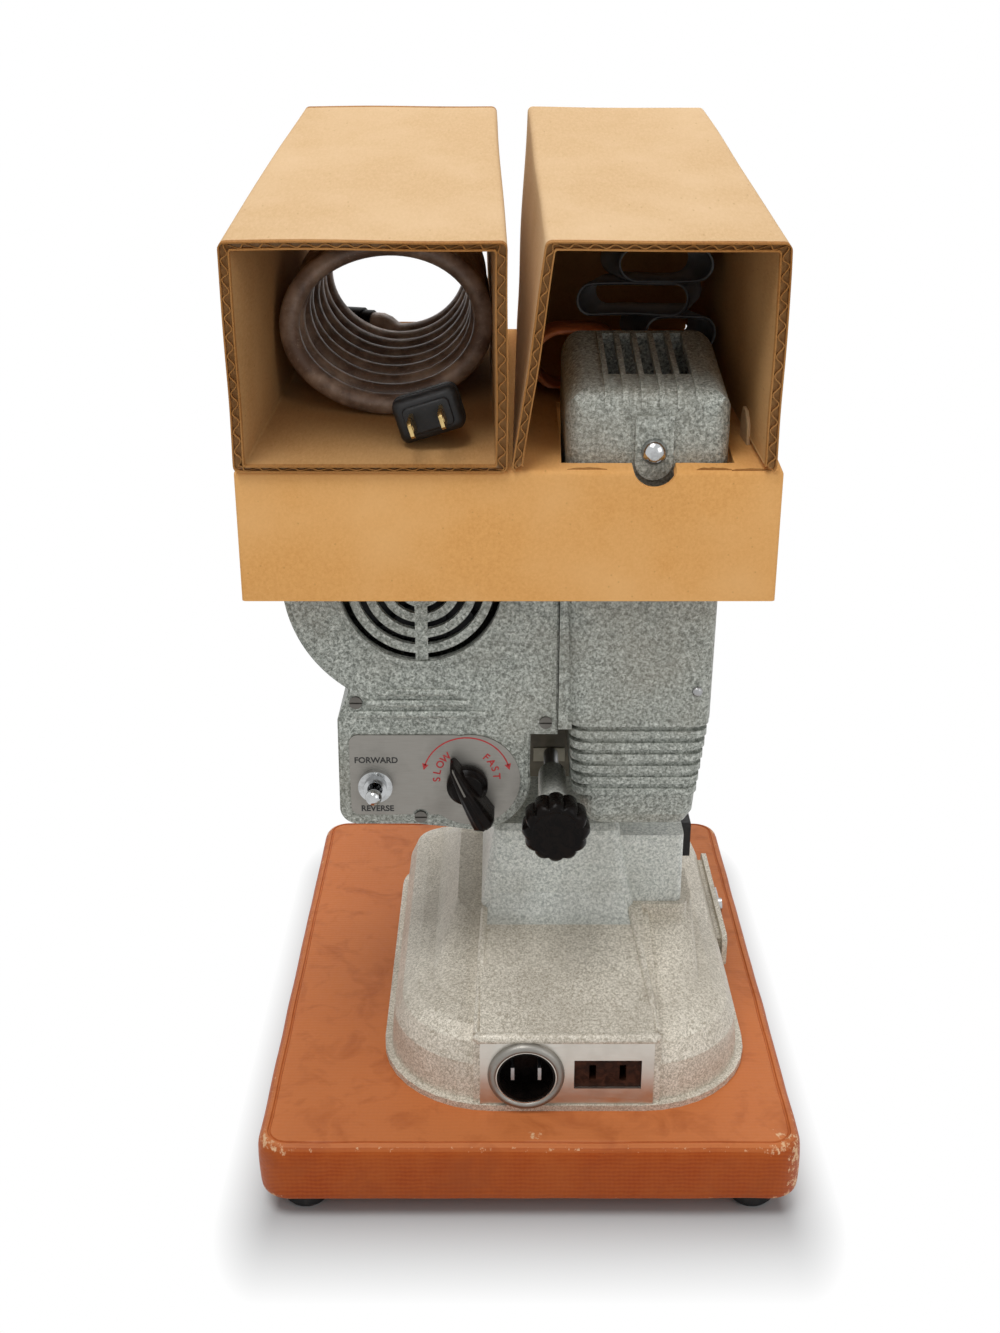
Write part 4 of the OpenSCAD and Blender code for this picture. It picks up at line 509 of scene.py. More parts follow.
CAD_FINISH = {
    BASE_ENAMEL: "base_casting side_cover",
    HEAD_ENAMEL: "drive_housing drive_cover motor_cover lamp_house lamp_cap lens_holder"
                 " arm_brackets supply_arm takeup_arm",
    PEDESTAL_ENAMEL: "pedestal",
    BOOK_CLOTH: "case_base",
    RUBBER: "rubber_feet drive_belt cord_plug",
    STEEL: "inlet_pins base_bolts base_plate hinge_pin tilt_screw motor_shaft main_shaft"
           " film_claw lens_barrel",
    PLATE: "control_plate",
    BRIGHT_PLATE: "socket_plate",
    CHROME: "side_cover_catch toggle_bush toggle_lever cap_nut reflector aperture_plate pressure_plate"
            " upper_sprocket lower_sprocket supply_spindle takeup_spindle",
    BRASS: "motor_pulley lamp_base",
    PHENOLIC: "inlet_cup tilt_knob speed_knob rheostat focus_knob cord_connector",
    SOCKET_PHENOLIC: "outlet_body",
    IRON: "motor fan",
    OLD_STEEL: "cover_screws",
    BLACK: "shutter",
    GLASS: "lamp_bulb condenser lens_glass",
    BOARD: "insert_tray left_tube right_tube",
    CORD: "supply_cord",
    WEBBING: "black_band",
    STRAP: "carry_strap",
}
for finish, names in CAD_FINISH.items():
    for name in names.split():
        CAD[name].data.materials.clear()
        CAD[name].data.materials.append(finish)


# Making pieces

BODY = {node: body for body, nodes in frame["record"]["behaviour"]["bodies"].items() for node in nodes}


def dress(made, body, finish, replaced=()):
    """Gives an object its finish, says what it replaces, and lets it ride on a body."""
    made.data.materials.append(finish)
    if replaced:
        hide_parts(*replaced)
    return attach(made, body)


def piece(name, verts, faces, body, slot, finish, replaced=(), crease=40):
    """A mesh piece from points in millimetres, smooth but for edges sharper than the crease angle."""
    mesh = bpy.data.meshes.new(name)
    mesh.from_pydata([(x * MM, y * MM, z * MM) for x, y, z in verts], [], faces)
    work = bmesh.new()
    work.from_mesh(mesh)
    bmesh.ops.recalc_face_normals(work, faces=work.faces)
    work.to_mesh(mesh)
    work.free()
    for face in mesh.polygons:
        face.use_smooth = True
    mesh.set_sharp_from_angle(angle=math.radians(crease))
    made = bpy.data.objects.new(name, mesh)
    scene.collection.objects.link(made)
    return dress(made, body, finish, replaced)


def skin(rings, loop=False):
    """Points and faces of a surface through rings of equal count, closed at both ends unless it loops."""
    verts = [tuple(p) for ring in rings for p in ring]
    faces = []
    n = len(rings[0])
    for i in range(len(rings) - (0 if loop else 1)):
        a, b = i * n, (i + 1) % len(rings) * n
        faces.extend((a + k, a + (k + 1) % n, b + (k + 1) % n, b + k) for k in range(n))
    if not loop:
        faces.append(tuple(n - 1 - k for k in range(n)))
        faces.append(tuple((len(rings) - 1) * n + k for k in range(n)))
    return verts, faces


def turned(x, z, profile, points=96, lobes=0):
    """A turned shape about an axis along Y through x, z; profile rows are y, radius and depth of lobes."""
    rings = []
    for y, radius, *depth in profile:
        ring = []
        for k in range(points):
            a = 2 * math.pi * k / points
            r = radius - (depth[0] * (1 - abs(math.cos(lobes * a / 2)) ** 0.7) if depth else 0)
            ring.append((x + r * math.cos(a), y, z + r * math.sin(a)))
        rings.append(ring)
    return skin(rings)


def drift(p, size, amount, seed=0.0):
    """A slow, repeatable wander of a point, in millimetres."""
    return noise.noise_vector(Vector((p[0] + 91.7 * seed, p[1], p[2])) / size) * amount


def cut_sheet(outlines, thick, bevel, place):
    """Mesh data in millimetres for a flat sheet with holes and eased edges; place is its matrix."""
    data = bpy.data.curves.new("cut_sheet", "CURVE")
    data.dimensions = "2D"
    data.fill_mode = "BOTH"
    data.extrude = thick / 2 - bevel
    data.bevel_depth = bevel
    data.bevel_resolution = 2
    for outline in outlines:
        line = data.splines.new("POLY")
        line.points.add(len(outline) - 1)
        for point, (u, v) in zip(line.points, outline):
            point.co = (u, v, 0, 1)
        line.use_cyclic_u = True
    return flat_mesh(data, place)


def flat_mesh(data, place):
    """Turns a flat curve or word into points and faces, put in place by a matrix, and removes it."""
    sheet = bpy.data.objects.new(data.name, data)
    scene.collection.objects.link(sheet)
    mesh = bpy.data.meshes.new_from_object(sheet.evaluated_get(bpy.context.evaluated_depsgraph_get()))
    verts = [tuple(place @ v.co) for v in mesh.vertices]
    faces = [tuple(p.vertices) for p in mesh.polygons]
    bpy.data.objects.remove(sheet)
    bpy.data.meshes.remove(mesh)
    return verts, faces


def joined(*shells):
    """Several pairs of points and faces as one pair."""
    verts, faces = [], []
    for v, f in shells:
        faces.extend(tuple(k + len(verts) for k in face) for face in f)
        verts.extend(v)
    return verts, faces


def arc(x, z, radius, start, end, points=24):
    """Points of an arc in the plane of X and Z, angles in degrees."""
    angles = [math.radians(start + (end - start) * k / points) for k in range(points + 1)]
    return [(x + radius * math.cos(a), z + radius * math.sin(a)) for a in angles]


# Stands a sheet that was drawn flat in X and Z upright, facing the viewer behind the projector
UPRIGHT = Matrix.Rotation(math.radians(90), 4, "X")


# Case base: book cloth glued over wood, its edges soft and its top sheet ending in a shallow groove

BOARD_HALF_X, BOARD_HALF_Y, BOARD_R = 120, 152, 14
# Inset from the outline, height and wear of each line round the board, from below to the top
BOARD_PROFILE = [(13, 10.0, 0), (3.5, 10.0, 0.4), (1.3, 10.5, 0.85), (0.3, 11.6, 0.95), (0, 14, 0.6),
                 (-0.25, 20, 0.25), (-0.25, 26, 0.2),
                 (0, 31, 0.35), (0.35, 33.6, 0.6), (1.2, 35.7, 0.95), (2.4, 37.1, 1.0), (3.7, 37.8, 0.85),
                 (4.3, 38.0, 0.6),
                 (4.8, 37.4, 0.3), (5.3, 37.3, 0.3), (5.8, 37.85, 0.45), (7.5, 38.0, 0.35), (13, 38.0, 0.1)]


def board_outline():
    """Points round the board with their outward directions."""
    cx, cy = BOARD_HALF_X - BOARD_R, BOARD_HALF_Y - BOARD_R
    points = []
    for sx, sy, start in ((1, -1, -90), (1, 1, 0), (-1, 1, 90), (-1, -1, 180)):
        for k in range(13):
            a = math.radians(start + 7.5 * k)
            u, v = math.cos(a), math.sin(a)
            points.append((sx * cx + BOARD_R * u, sy * cy + BOARD_R * v, u, v))
    full = []
    for (x0, y0, u0, v0), (x1, y1, *_) in zip(points, points[1:] + points[:1]):
        steps = max(1, round(math.hypot(x1 - x0, y1 - y0) / 5))
        full += [(x0 + (x1 - x0) * k / steps, y0 + (y1 - y0) * k / steps, u0, v0) for k in range(steps)]
    return full


def cover_case_base():
    """Cloth-covered board; its "rub" attribute says where the cloth is worn, at edges and two scuffs."""
    outline = board_outline()
    rings, rub = [], []
    for inset, z, wear in BOARD_PROFILE:
        ring = []
        for x, y, u, v in outline:
            p = Vector((x - u * inset, y - v * inset, z))
            if 10.4 < z and inset < 7:
                p += drift(p, 26, 0.35)
            ring.append(p)
            corner = abs(x) > 104 and abs(y) > 136
            scuff = (abs(x - 1) < 6 and y < 0 and 7 <= inset) or (x > 112 and y < -140 and z > 13)
            rub.append(1.15 if scuff else wear + (0.25 if corner and wear > 0.3 else 0))
        rings.append(ring)
    made = piece("cloth_covered_base", *skin(rings), "base", "leatherette", BOOK_CLOTH, ["case_base"])
    made.data.attributes.new("rub", "FLOAT", "POINT").data.foreach_set("value", rub)


# Cardboard insert: a tray over the head and two tubes on it, folded from corrugated board

TRAY_X0, TRAY_X1, TRAY_Y0, TRAY_Y1, TRAY_Z0, TRAY_Z1, TRAY_RISE = -120, 101, -90, 98.5, 268, 323, 26
CARD_T, TUBE_GAP, GAP = 2.7, 0.2, 0.3
NEAR_Y, FAR_Y = TRAY_Y0 - 2, TRAY_Y1 + 1
NEAR_TOP, FAR_TOP = TRAY_Z1 + 89, TRAY_Z1 + TRAY_RISE + 106
LAMP_X0, LAMP_X1, LAMP_Y0, LAMP_Y1 = 13.5, 80.5, -80, -12
NUT_X, NUT_Z, TAB_R = 49.3, 329, 7.7


def top_z(y):
    """Height of the tray's sloping top."""
    return TRAY_Z1 + TRAY_RISE / (TRAY_Y1 - TRAY_Y0) * (y - TRAY_Y0)


def left_corners(y):
    """Corners of the left tube in X and Z, anticlockwise from the lower left, as at that Y."""
    t = (y - NEAR_Y) / (FAR_Y - NEAR_Y)
    x0, x1 = -119.5 + 11.5 * t, -10 - 4.5 * t
    z0, z1 = top_z(y) + TUBE_GAP, NEAR_TOP + (FAR_TOP - NEAR_TOP) * t
    return [(x0, z0), (x1, z0), (x1, z1), (x0, z1)]


def right_corners(y):
    t = (y - NEAR_Y) / (FAR_Y - NEAR_Y)
    z0, z1 = top_z(y) + TUBE_GAP, NEAR_TOP + (FAR_TOP - NEAR_TOP) * t
    return [(-8.5 + 4 * t, z0), (97.5 - 11.5 * t, z0), (97.5 - 11.5 * t, z1), (4.5 - 4 * t, z1)]


def inset_corners(corners, insets):
    """The corners moved in by a wall thickness for each side: floor, right, top, left."""
    lines = []
    for (p, q), inset in zip(zip(corners, corners[1:] + corners[:1]), insets):
        p, q = Vector(p), Vector(q)
        along = (q - p).normalized()
        lines.append((p + Vector((-along.y, along.x)) * inset, along))
    found = []
    for (p, u), (q, v) in zip(lines[-1:] + lines[:-1], lines):
        t = ((q - p).x * v.y - (q - p).y * v.x) / (u.x * v.y - u.y * v.x)
        found.append(p + u * t)
    return found


def fold_outline(corners, radius):
    """Points round a tube's outline, with rounded folds at its corners and 24 points along each side."""
    points = []
    for i, corner in enumerate(corners):
        corner, before, after = Vector(corner), Vector(corners[i - 1]), Vector(corners[(i + 1) % 4])
        u, v = (before - corner).normalized(), (after - corner).normalized()
        half = u.angle(v) / 2
        centre = corner + (u + v).normalized() * (radius / math.sin(half))
        start = corner + u * (radius / math.tan(half))
        end = corner + v * (radius / math.tan(half))
        a0 = math.atan2((start - centre).y, (start - centre).x)
        a1 = math.atan2((end - centre).y, (end - centre).x)
        while a1 < a0:
            a1 += 2 * math.pi
        points += [centre + radius * Vector((math.cos(a0 + (a1 - a0) * k / 5),
                                             math.sin(a0 + (a1 - a0) * k / 5))) for k in range(6)]
    full = []
    for i, p in enumerate(points):
        q = points[(i + 1) % len(points)]
        steps = 24 if i % 6 == 5 else 1
        full += [p + (q - p) * k / steps for k in range(steps)]
    return full


def board_ring(corners, y, insets, radius):
    """One ring of a tube wall, its sheets slightly bowed as folded board is."""
    floor = corners(y)[0][1]
    ring = []
    for x, z in fold_outline(inset_corners(corners(y), insets), radius):
        ring.append(bowed(x, y, z, y, floor))
    return ring


def bowed(x, y, z, near, floor):
    """A point of a board wall moved by the board's slow bow, which fades out at the floor."""
    free = min(1.0, max(0.0, (z - floor - 6) / 30))
    p = Vector((x, y, z)) + drift((x, near * 0.6, z), 55, 1.1) * free
    p.y = y
    return p


# Points of a ring that lie between the lower folds; a tube without a floor leaves them out
FLOOR_FROM, FLOOR_TO = 4, 31


def wall_shell(corners, stations, outer, inner, floorless):
    """A skin between two insets of a tube's outline; outer and inner are each insets and a fold radius."""
    if not floorless:
        inside = [board_ring(corners, y, *inner) for y in reversed(stations)]
        return skin(inside + [board_ring(corners, y, *outer) for y in stations], loop=True)
    rings = []
    for y in stations:
        out, into = board_ring(corners, y, *outer), board_ring(corners, y, *inner)
        rings.append(out[FLOOR_TO:] + out[:FLOOR_FROM] + (into[FLOOR_TO:] + into[:FLOOR_FROM])[::-1])
    return skin(rings)


def within(corners, p, depth=1.6):
    """Whether a point in metres lies deeper in a tube than its outer skin."""
    quad = inset_corners(corners(p.y / MM), [depth] * 4)
    sides = zip(quad, quad[1:] + quad[:1])
    return all((b - a).x * (p.z / MM - a.y) - (b - a).y * (p.x / MM - a.x) > 0 for a, b in sides)


# Wall of each tube: floor, right, top, left
WALLS = {"left": (2.7, 4.6, 3.2, 4.4), "right": (2.7, 4.6, 3.2, 4.0)}
# Thickness of a liner, and how deep the rim that shows the flutes is
LINER, RIM = 0.55, 2.4
# No inset at any side
FLAT = (0, 0, 0, 0)


def board_tube(side, corners, floorless):
    """A folded tube: its walls, and at each open end a rim of two liners with the flutes between."""
    walls = WALLS[side]
    name, node = f"folded_{side}_tube", f"{side}_tube"
    far = FAR_Y - (0 if floorless else RIM)
    stations = [NEAR_Y + RIM + (far - NEAR_Y - RIM) * k / 26 for k in range(27)]
    made = piece(name, *wall_shell(corners, stations, (FLAT, 2.6), (walls, 1.0), floorless), "insert",
                 "cardboard", BOARD, [node])
    made.data.materials.append(BOARD_PAINTED_SHADE)
    # Faces deeper than the outer skin get the darker board, as painted shade
    for face in made.data.polygons:
        face.material_index = int(within(corners, face.center))
    if floorless:
        plug = [board_ring(corners, y, (-TUBE_GAP, *walls[1:]), 1.0) for y in (FAR_Y - CARD_T, FAR_Y - 0.2)]
        piece(f"{name}_end_wall", *skin(plug), "insert", "cardboard", BOARD_PAINTED_SHADE)
    for end, y0, y1 in (("near", NEAR_Y, NEAR_Y + RIM),) + (() if floorless else (("far", FAR_Y,
                                                                                   FAR_Y - RIM),)):
        thin = [w - LINER for w in walls]
        liners = joined(wall_shell(corners, (y0, y1), (FLAT, 2.6), ([LINER] * 4, 2.1), floorless),
                        wall_shell(corners, (y0, y1), (thin, 1.2), (walls, 1.0), floorless))
        piece(f"{name}_{end}_liners", *liners, "insert", "cardboard", BOARD_EDGE)
        piece(f"{name}_{end}_flutes", *flute_sheet(corners, walls, y0, y1, floorless), "insert", "cardboard",
              BOARD_EDGE, crease=60)


def flute_sheet(corners, walls, y0, y1, floorless, pitch=7.4, paper=0.45):
    """The waved paper between the liners at the end of a tube."""
    outside = fold_outline(inset_corners(corners(y0), [LINER] * 4), 2.1)
    inside = fold_outline(inset_corners(corners(y0), [w - LINER for w in walls]), 1.2)
    floor, front = corners(y0)[0][1], y0 + (0.35 if y1 > y0 else -0.35)
    order = list(range(FLOOR_TO,
                       len(outside))) + list(range(FLOOR_FROM)) if floorless else list(range(len(outside)))
    rings, length = [], 0.0
    for k in order[:-1] if floorless else order:
        a, b = outside[k], outside[(k + 1) % len(outside)]
        c, d = inside[k], inside[(k + 1) % len(inside)]
        steps = max(1, round((b - a).length / 0.7))
        for s in range(steps):
            out, into = a.lerp(b, s / steps), c.lerp(d, s / steps)
            gap, run = (into - out).length, length + (b - a).length * s / steps
            wave = 0.5 + 0.5 * math.sin(2 * math.pi * run / pitch + 0.5 * math.sin(run / 17))
            low = out.lerp(into, (0.15 + (gap - paper - 0.3) * wave) / gap)
            high = low + (into - out) * (paper / gap)
            ring = ((low, front), (low, y1), (high, y1), (high, front))
            rings.append([bowed(q.x, y, q.y, y0, floor) for q, y in ring])
        length += (b - a).length
    return skin(rings, loop=not floorless)


def board_tray():
    """The tray: a folded box without a floor, cut out round the lamp house, with soft folds."""
    work = bmesh.new()
    corners = [work.verts.new((x * MM, y * MM, z * MM)) for z_low in (True, False) for x, y in
               ((TRAY_X0, TRAY_Y0), (TRAY_X1, TRAY_Y0), (TRAY_X1, TRAY_Y1), (TRAY_X0, TRAY_Y1))
               for z in [TRAY_Z0 if z_low else top_z(y)]]
    for face in ((0, 1, 5, 4), (1, 2, 6, 5), (2, 3, 7, 6), (3, 0, 4, 7), (4, 5, 6, 7)):
        work.faces.new([corners[k] for k in face])
    folds = [e for e in work.edges if len(e.link_faces) == 2]
    bmesh.ops.bevel(work, geom=folds, offset=1.9 * MM, segments=4, affect="EDGES", profile=0.5)
    bmesh.ops.recalc_face_normals(work, faces=work.faces)
    mesh = bpy.data.meshes.new("folded_insert_tray")
    work.to_mesh(mesh)
    work.free()
    tray = bpy.data.objects.new("folded_insert_tray", mesh)
    scene.collection.objects.link(tray)
    wall = tray.modifiers.new("board", "SOLIDIFY")
    wall.thickness, wall.offset = CARD_T * MM, -1
    cutters = []
    hole = [(LAMP_X0 - 1.5, LAMP_Y0 - 1), (LAMP_X1 + 1.5, LAMP_Y0 - 1), (LAMP_X1 + 1.5, LAMP_Y1 + 2),
            (LAMP_X0 - 1.5, LAMP_Y1 + 2)]
    wavy = []
    for (x0, y0), (x1, y1) in zip(hole, hole[1:] + hole[:1]):
        for k in range(8):
            p = Vector((x0 + (x1 - x0) * k / 8, y0 + (y1 - y0) * k / 8, 0))
            wavy.append(p + drift(p, 9, 0.5))
    cutters.append(([(p.x, p.y) for p in wavy], Matrix.Translation((0, 0, TRAY_Z1)), 70))
    notch = arc(NUT_X, -(NUT_Z - 4), TAB_R + 1.2, 0, 180) + [(NUT_X - TAB_R - 1.2, -(NUT_Z + 26)),
                                                             (NUT_X + TAB_R + 1.2, -(NUT_Z + 26))]
    cutters.append(([(x, -z) for x, z in notch], Matrix.Translation((0, LAMP_Y0 - 5, 0)) @ UPRIGHT, 16))
    tools = []
    for outline, place, thick in cutters:
        verts, faces = cut_sheet([outline], thick, 0, place)
        cutter = bpy.data.meshes.new("cutter")
        cutter.from_pydata([(x * MM, y * MM, z * MM) for x, y, z in verts], [], faces)
        work = bmesh.new()
        work.from_mesh(cutter)
        bmesh.ops.remove_doubles(work, verts=work.verts, dist=1e-6)
        bmesh.ops.recalc_face_normals(work, faces=work.faces)
        work.to_mesh(cutter)
        work.free()
        tool = bpy.data.objects.new("cutter", cutter)
        scene.collection.objects.link(tool)
        cut = tray.modifiers.new("cut", "BOOLEAN")
        cut.operation, cut.object, cut.solver = "DIFFERENCE", tool, "FAST"
        tools.append(tool)
    shaped = bpy.data.meshes.new_from_object(tray.evaluated_get(bpy.context.evaluated_depsgraph_get()))
    tray.modifiers.clear()
    tray.data = shaped
    for tool in tools:
        bpy.data.objects.remove(tool)
    for face in shaped.polygons:
        face.use_smooth = True
    shaped.set_sharp_from_angle(angle=math.radians(32))
    shaped.materials.clear()
    dress(tray, "insert", TRAY_BOARD, ["insert_tray"])


# Supply cord: the same route as in the part's source, and its plug

# Diameter, middle, half width, half height, start, pitch and lean of the coil, and its turns
CORD_D, CORD_X, CORD_RX, CORD_RZ = 9, -62, 42, 30
CORD_Y0, CORD_PITCH, CORD_LEAN, CORD_LOOPS = -22, 12.5, 12, 8
PLUG_X, PLUG_BACK = -42, -58
PLUG_Z = top_z(PLUG_BACK) + TUBE_GAP + CARD_T + GAP + 11
LEAD_Y, CORD_LIFT, TAIL_TURN = PLUG_BACK + 5, 4.5, 20


def floor_z(y):
    """Height of the cord's middle where it lies on the tube's floor."""
    return top_z(y) + TUBE_GAP + CARD_T + GAP + CORD_D / 2


def sin_d(a):
    return math.sin(math.radians(a))


def cos_d(a):
    return math.cos(math.radians(a))


def loop_y(t):
    return CORD_Y0 + CORD_PITCH * t / 360 - CORD_LEAN * cos_d(t) + 1.5 * sin_d(t * 2)


def loop_pt(t):
    """A point of the coil, t degrees along it."""
    rx = CORD_RX - 5 * t / 2520 + 0.5 * sin_d(t / 2.7)
    rz = CORD_RZ - 0.8 * sin_d(t / 3.5)
    return Vector((CORD_X - rx * sin_d(t), loop_y(t), floor_z(loop_y(t)) + rz * (1 - cos_d(t))))


def cord_route():
    """The cord's middle line in metres, from the plug through its coil to the connector."""
    bend_r = PLUG_X - CORD_X
    points = [Vector((PLUG_X, PLUG_BACK, PLUG_Z))]
    for a in range(0, 90, 5):
        s = a / 90
        points.append(Vector((PLUG_X - bend_r * (1 - cos_d(a)), LEAD_Y + (loop_y(0) - LEAD_Y) * sin_d(a),
                              PLUG_Z + (loop_pt(0).z - PLUG_Z) * s * s * (3 - 2 * s))))
    points += [loop_pt(5 * i) for i in range(72 * CORD_LOOPS + 1)]
    end, tail = points[-1], Vector((-cos_d(TAIL_TURN), sin_d(TAIL_TURN), 0))
    points += [end + x * tail + Vector((0, 0, CORD_LIFT * (1 - cos_d(x * 20)) / 2)) for x in (3, 6, 9)]
    points.append(end + 14 * tail + Vector((0, 0, CORD_LIFT)))
    return [p * MM for p in points]


def lay_cord():
    route = cord_route()
    data = bpy.data.curves.new("coiled_supply_cord", "CURVE")
    data.dimensions = "3D"
    data.bevel_depth = CORD_D / 2 * MM
    data.bevel_resolution = 5
    data.use_fill_caps = True
    line = data.splines.new("POLY")
    line.points.add(len(route) - 1)
    for point, place in zip(line.points, route):
        point.co = (*place, 1)
    line.use_smooth = True
    cord = bpy.data.objects.new("coiled_supply_cord", data)
    scene.collection.objects.link(cord)
    dress(cord, "insert", CORD, ["supply_cord"])
    plug = mould_plug()


# Each section of the plug: y, half width, half height and corner radius
PLUG_SECTIONS = [(-57.5, 5.2, 5.2, 5.1), (-59.5, 6.2, 6.0, 5.6), (-61, 10.5, 7.6, 4.5),
                 (-62.5, 13.2, 8.9, 4), (-64, 13.9, 9.2, 4),
                 (-67, 13.9, 9.2, 3.6), (-67.5, 13.1, 8.5, 3.4), (-68.5, 13.1, 8.5, 3.4),
                 (-69, 13.8, 9.1, 3.4), (-72.5, 13.6, 9.0, 3.2),
                 (-74.5, 12.8, 8.2, 3), (-75.6, 11.4, 6.9, 2.8), (-75.8, 9.9, 6.0, 2.4),
                 (-77.4, 9.5, 5.6, 2.2), (-77.8, 8.6, 4.8, 1.8)]


def mould_plug():
    """A moulded two-pin plug that lies turned on its lower corner, with stamped brass blades."""
    turn = Matrix.Translation((PLUG_X, 0, PLUG_Z + 0.6)) @ Matrix.Rotation(math.radians(-17), 4, "Y")
    rings = []
    for y, w, h, r in PLUG_SECTIONS:
        ring = []
        for sx, sz, start in ((1, -1, -90), (1, 1, 0), (-1, 1, 90), (-1, -1, 180)):
            for k in range(6):
                a = math.radians(start + 18 * k)
                ring.append(turn @ Vector((sx * (w - r) + r * math.cos(a), y,
                                           sz * (h - r) + r * math.sin(a))))
        rings.append(ring)
    body = piece("moulded_cord_plug", *skin(rings), "insert", "rubber", RUBBER, ["cord_plug"], crease=50)
    blades = []
    hole = arc(-91, 0, 1.7, 0, 345, 23)
    outline = [(-77, -3.2), (-92.6, -3.2), (-93.8, -2.2), (-93.8, 2.2), (-92.6, 3.2), (-77, 3.2)]
    for side in (-6.35, 6.35):
        upright = turn @ Matrix.Translation((side, 0, 0)) @ Matrix.Rotation(math.radians(90), 4, "Y")
        stand = upright @ Matrix.Rotation(math.radians(90), 4, "Z")
        blades.append(cut_sheet([outline, hole], 1.6, 0.25, stand))
    pins = piece("plug_blades", *joined(*blades), "insert", "brass", BRASS)
    return body, pins


# Band and strap, laid in flat loops behind the lamp cap

def capsule(x0, x1, z0, height, step=2.0):
    """Middle line of a flat loop in X and Z."""
    r = height / 2
    points = arc(x1 - r, z0 + r, r, -90, 90, 18) + arc(x0 + r, z0 + r, r, 90, 270, 18)
    full = []
    for (a, b), (c, d) in zip(points, points[1:] + points[:1]):
        steps = max(1, round(math.hypot(c - a, d - b) / step))
        full += [(a + (c - a) * k / steps, b + (d - b) * k / steps) for k in range(steps)]
    return full


def ribbon(line, y0, width, thick, wander, seed, floor, skew=0.0):
    """A closed ribbon along a line in X and Z, with soft edges; it wanders but stays above its floor."""
    rings, n = [], len(line)
    edge = thick * 0.35
    section = [(-0.5, edge), (-0.28, 0), (0.28, 0), (0.5, edge), (0.5, width / 2), (0.5, width - edge),
               (0.28, width), (-0.28, width),
               (-0.5, width - edge), (-0.5, width / 2)]
    for k, (x, z) in enumerate(line):
        (ax, az), (bx, bz) = line[k - 1], line[(k + 1) % n]
        length = math.hypot(bx - ax, bz - az)
        nx, nz = (bz - az) / length, -(bx - ax) / length
        ring = []
        for off, along in section:
            p = Vector((x, y0 + along, z))
            p += drift((x, along * 0.5, z), 20, wander, seed) + Vector((nx * off * thick, 0,
                                                                        nz * off * thick))
            p.x += skew * (along - width / 2)
            p.z = max(p.z, floor(p.y) + (off + 0.5) * thick)
            ring.append(p)
        rings.append(ring)
    return skin(rings, loop=True)


# Where the band starts in Y, its width and thickness, and the height of one loop
BAND_Y0, BAND_W, BAND_T, LOOP_H = LAMP_Y1 + 14, 30, 1.6, 15.5
# Left and right end of each loop, from below, and how far it drifts sideways across its width
BAND_ENDS = [(46, 80), (47, 80), (25, 76), (36, 78)]
BAND_SKEW = [0.12, -0.28, 0.3, -0.22]
STRAP_Y0, STRAP_W, STRAP_T, STRAP_H = LAMP_Y1 + 4, 24, 2.4, 28


def fold_band():
    z = top_z(BAND_Y0 + BAND_W) + GAP
    loops = []
    for i, (x0, x1) in enumerate(BAND_ENDS):
        z0 = z + i * (LOOP_H - BAND_T / 2) + BAND_T / 2
        line = capsule(x0 + BAND_T / 2, x1 - BAND_T / 2, z0, LOOP_H - BAND_T)
        loops.append(ribbon(line, BAND_Y0, BAND_W, BAND_T, 1.0, i, lambda y: z, BAND_SKEW[i]))
    piece("folded_black_band", *joined(*loops), "insert", "band_black", WEBBING, ["black_band"], crease=60)


def curl_strap():
    z = top_z(STRAP_Y0 + STRAP_W) + GAP
    line = capsule(1 + STRAP_T / 2, 42 - STRAP_T / 2, z + STRAP_T / 2, STRAP_H - STRAP_T)
    piece("curled_carry_strap", *ribbon(line, STRAP_Y0, STRAP_W, STRAP_T, 0.5, 7, lambda y: z), "insert",
          "strap_leather", STRAP,
          ["carry_strap"], crease=60)


# Controls

COVER_Y, AXIS_Z = -76, 235
SPEED_X, SPEED_Z = -27.5, AXIS_Z - 57.4
TOGGLE_X, TOGGLE_Z = -68.2, AXIS_Z - 57.8
PRINT_Y = COVER_Y - 1.04


def flute_tilt_knob():
    """Tilt knob: a moulded disc with twelve rounded lobes, a turned-down hub and a shallow dished face."""
    x, z = 11.5, 164
    profile = [(-74, 6.5), (-85.4, 6.5), (-85.9, 7.6), (-86, 12.8, 0.6), (-86.8, 14.3, 1.4),
               (-88, 14.9, 1.9), (-92, 15, 2.0),
               (-96, 14.9, 1.9), (-98, 14.1, 1.5), (-99.3, 12.9, 0.8), (-99.9, 11.8, 0.2), (-100, 11.2),
               (-99.6, 10.6), (-99.2, 9.8),
               (-99.1, 6), (-99.2, 0.5)]
    piece("lobed_tilt_knob", *turned(x, z, profile, 240, 12), BODY["tilt_knob"], "bakelite", PHENOLIC,
          ["tilt_knob"], crease=50)


def knob_crest(to_tip):
    """Height of the pointer bar's back, from its grip at 0 to its tip at 1."""
    return 15.6 + 1.4 * math.sin(math.pi * to_tip) - 4.5 * to_tip ** 3


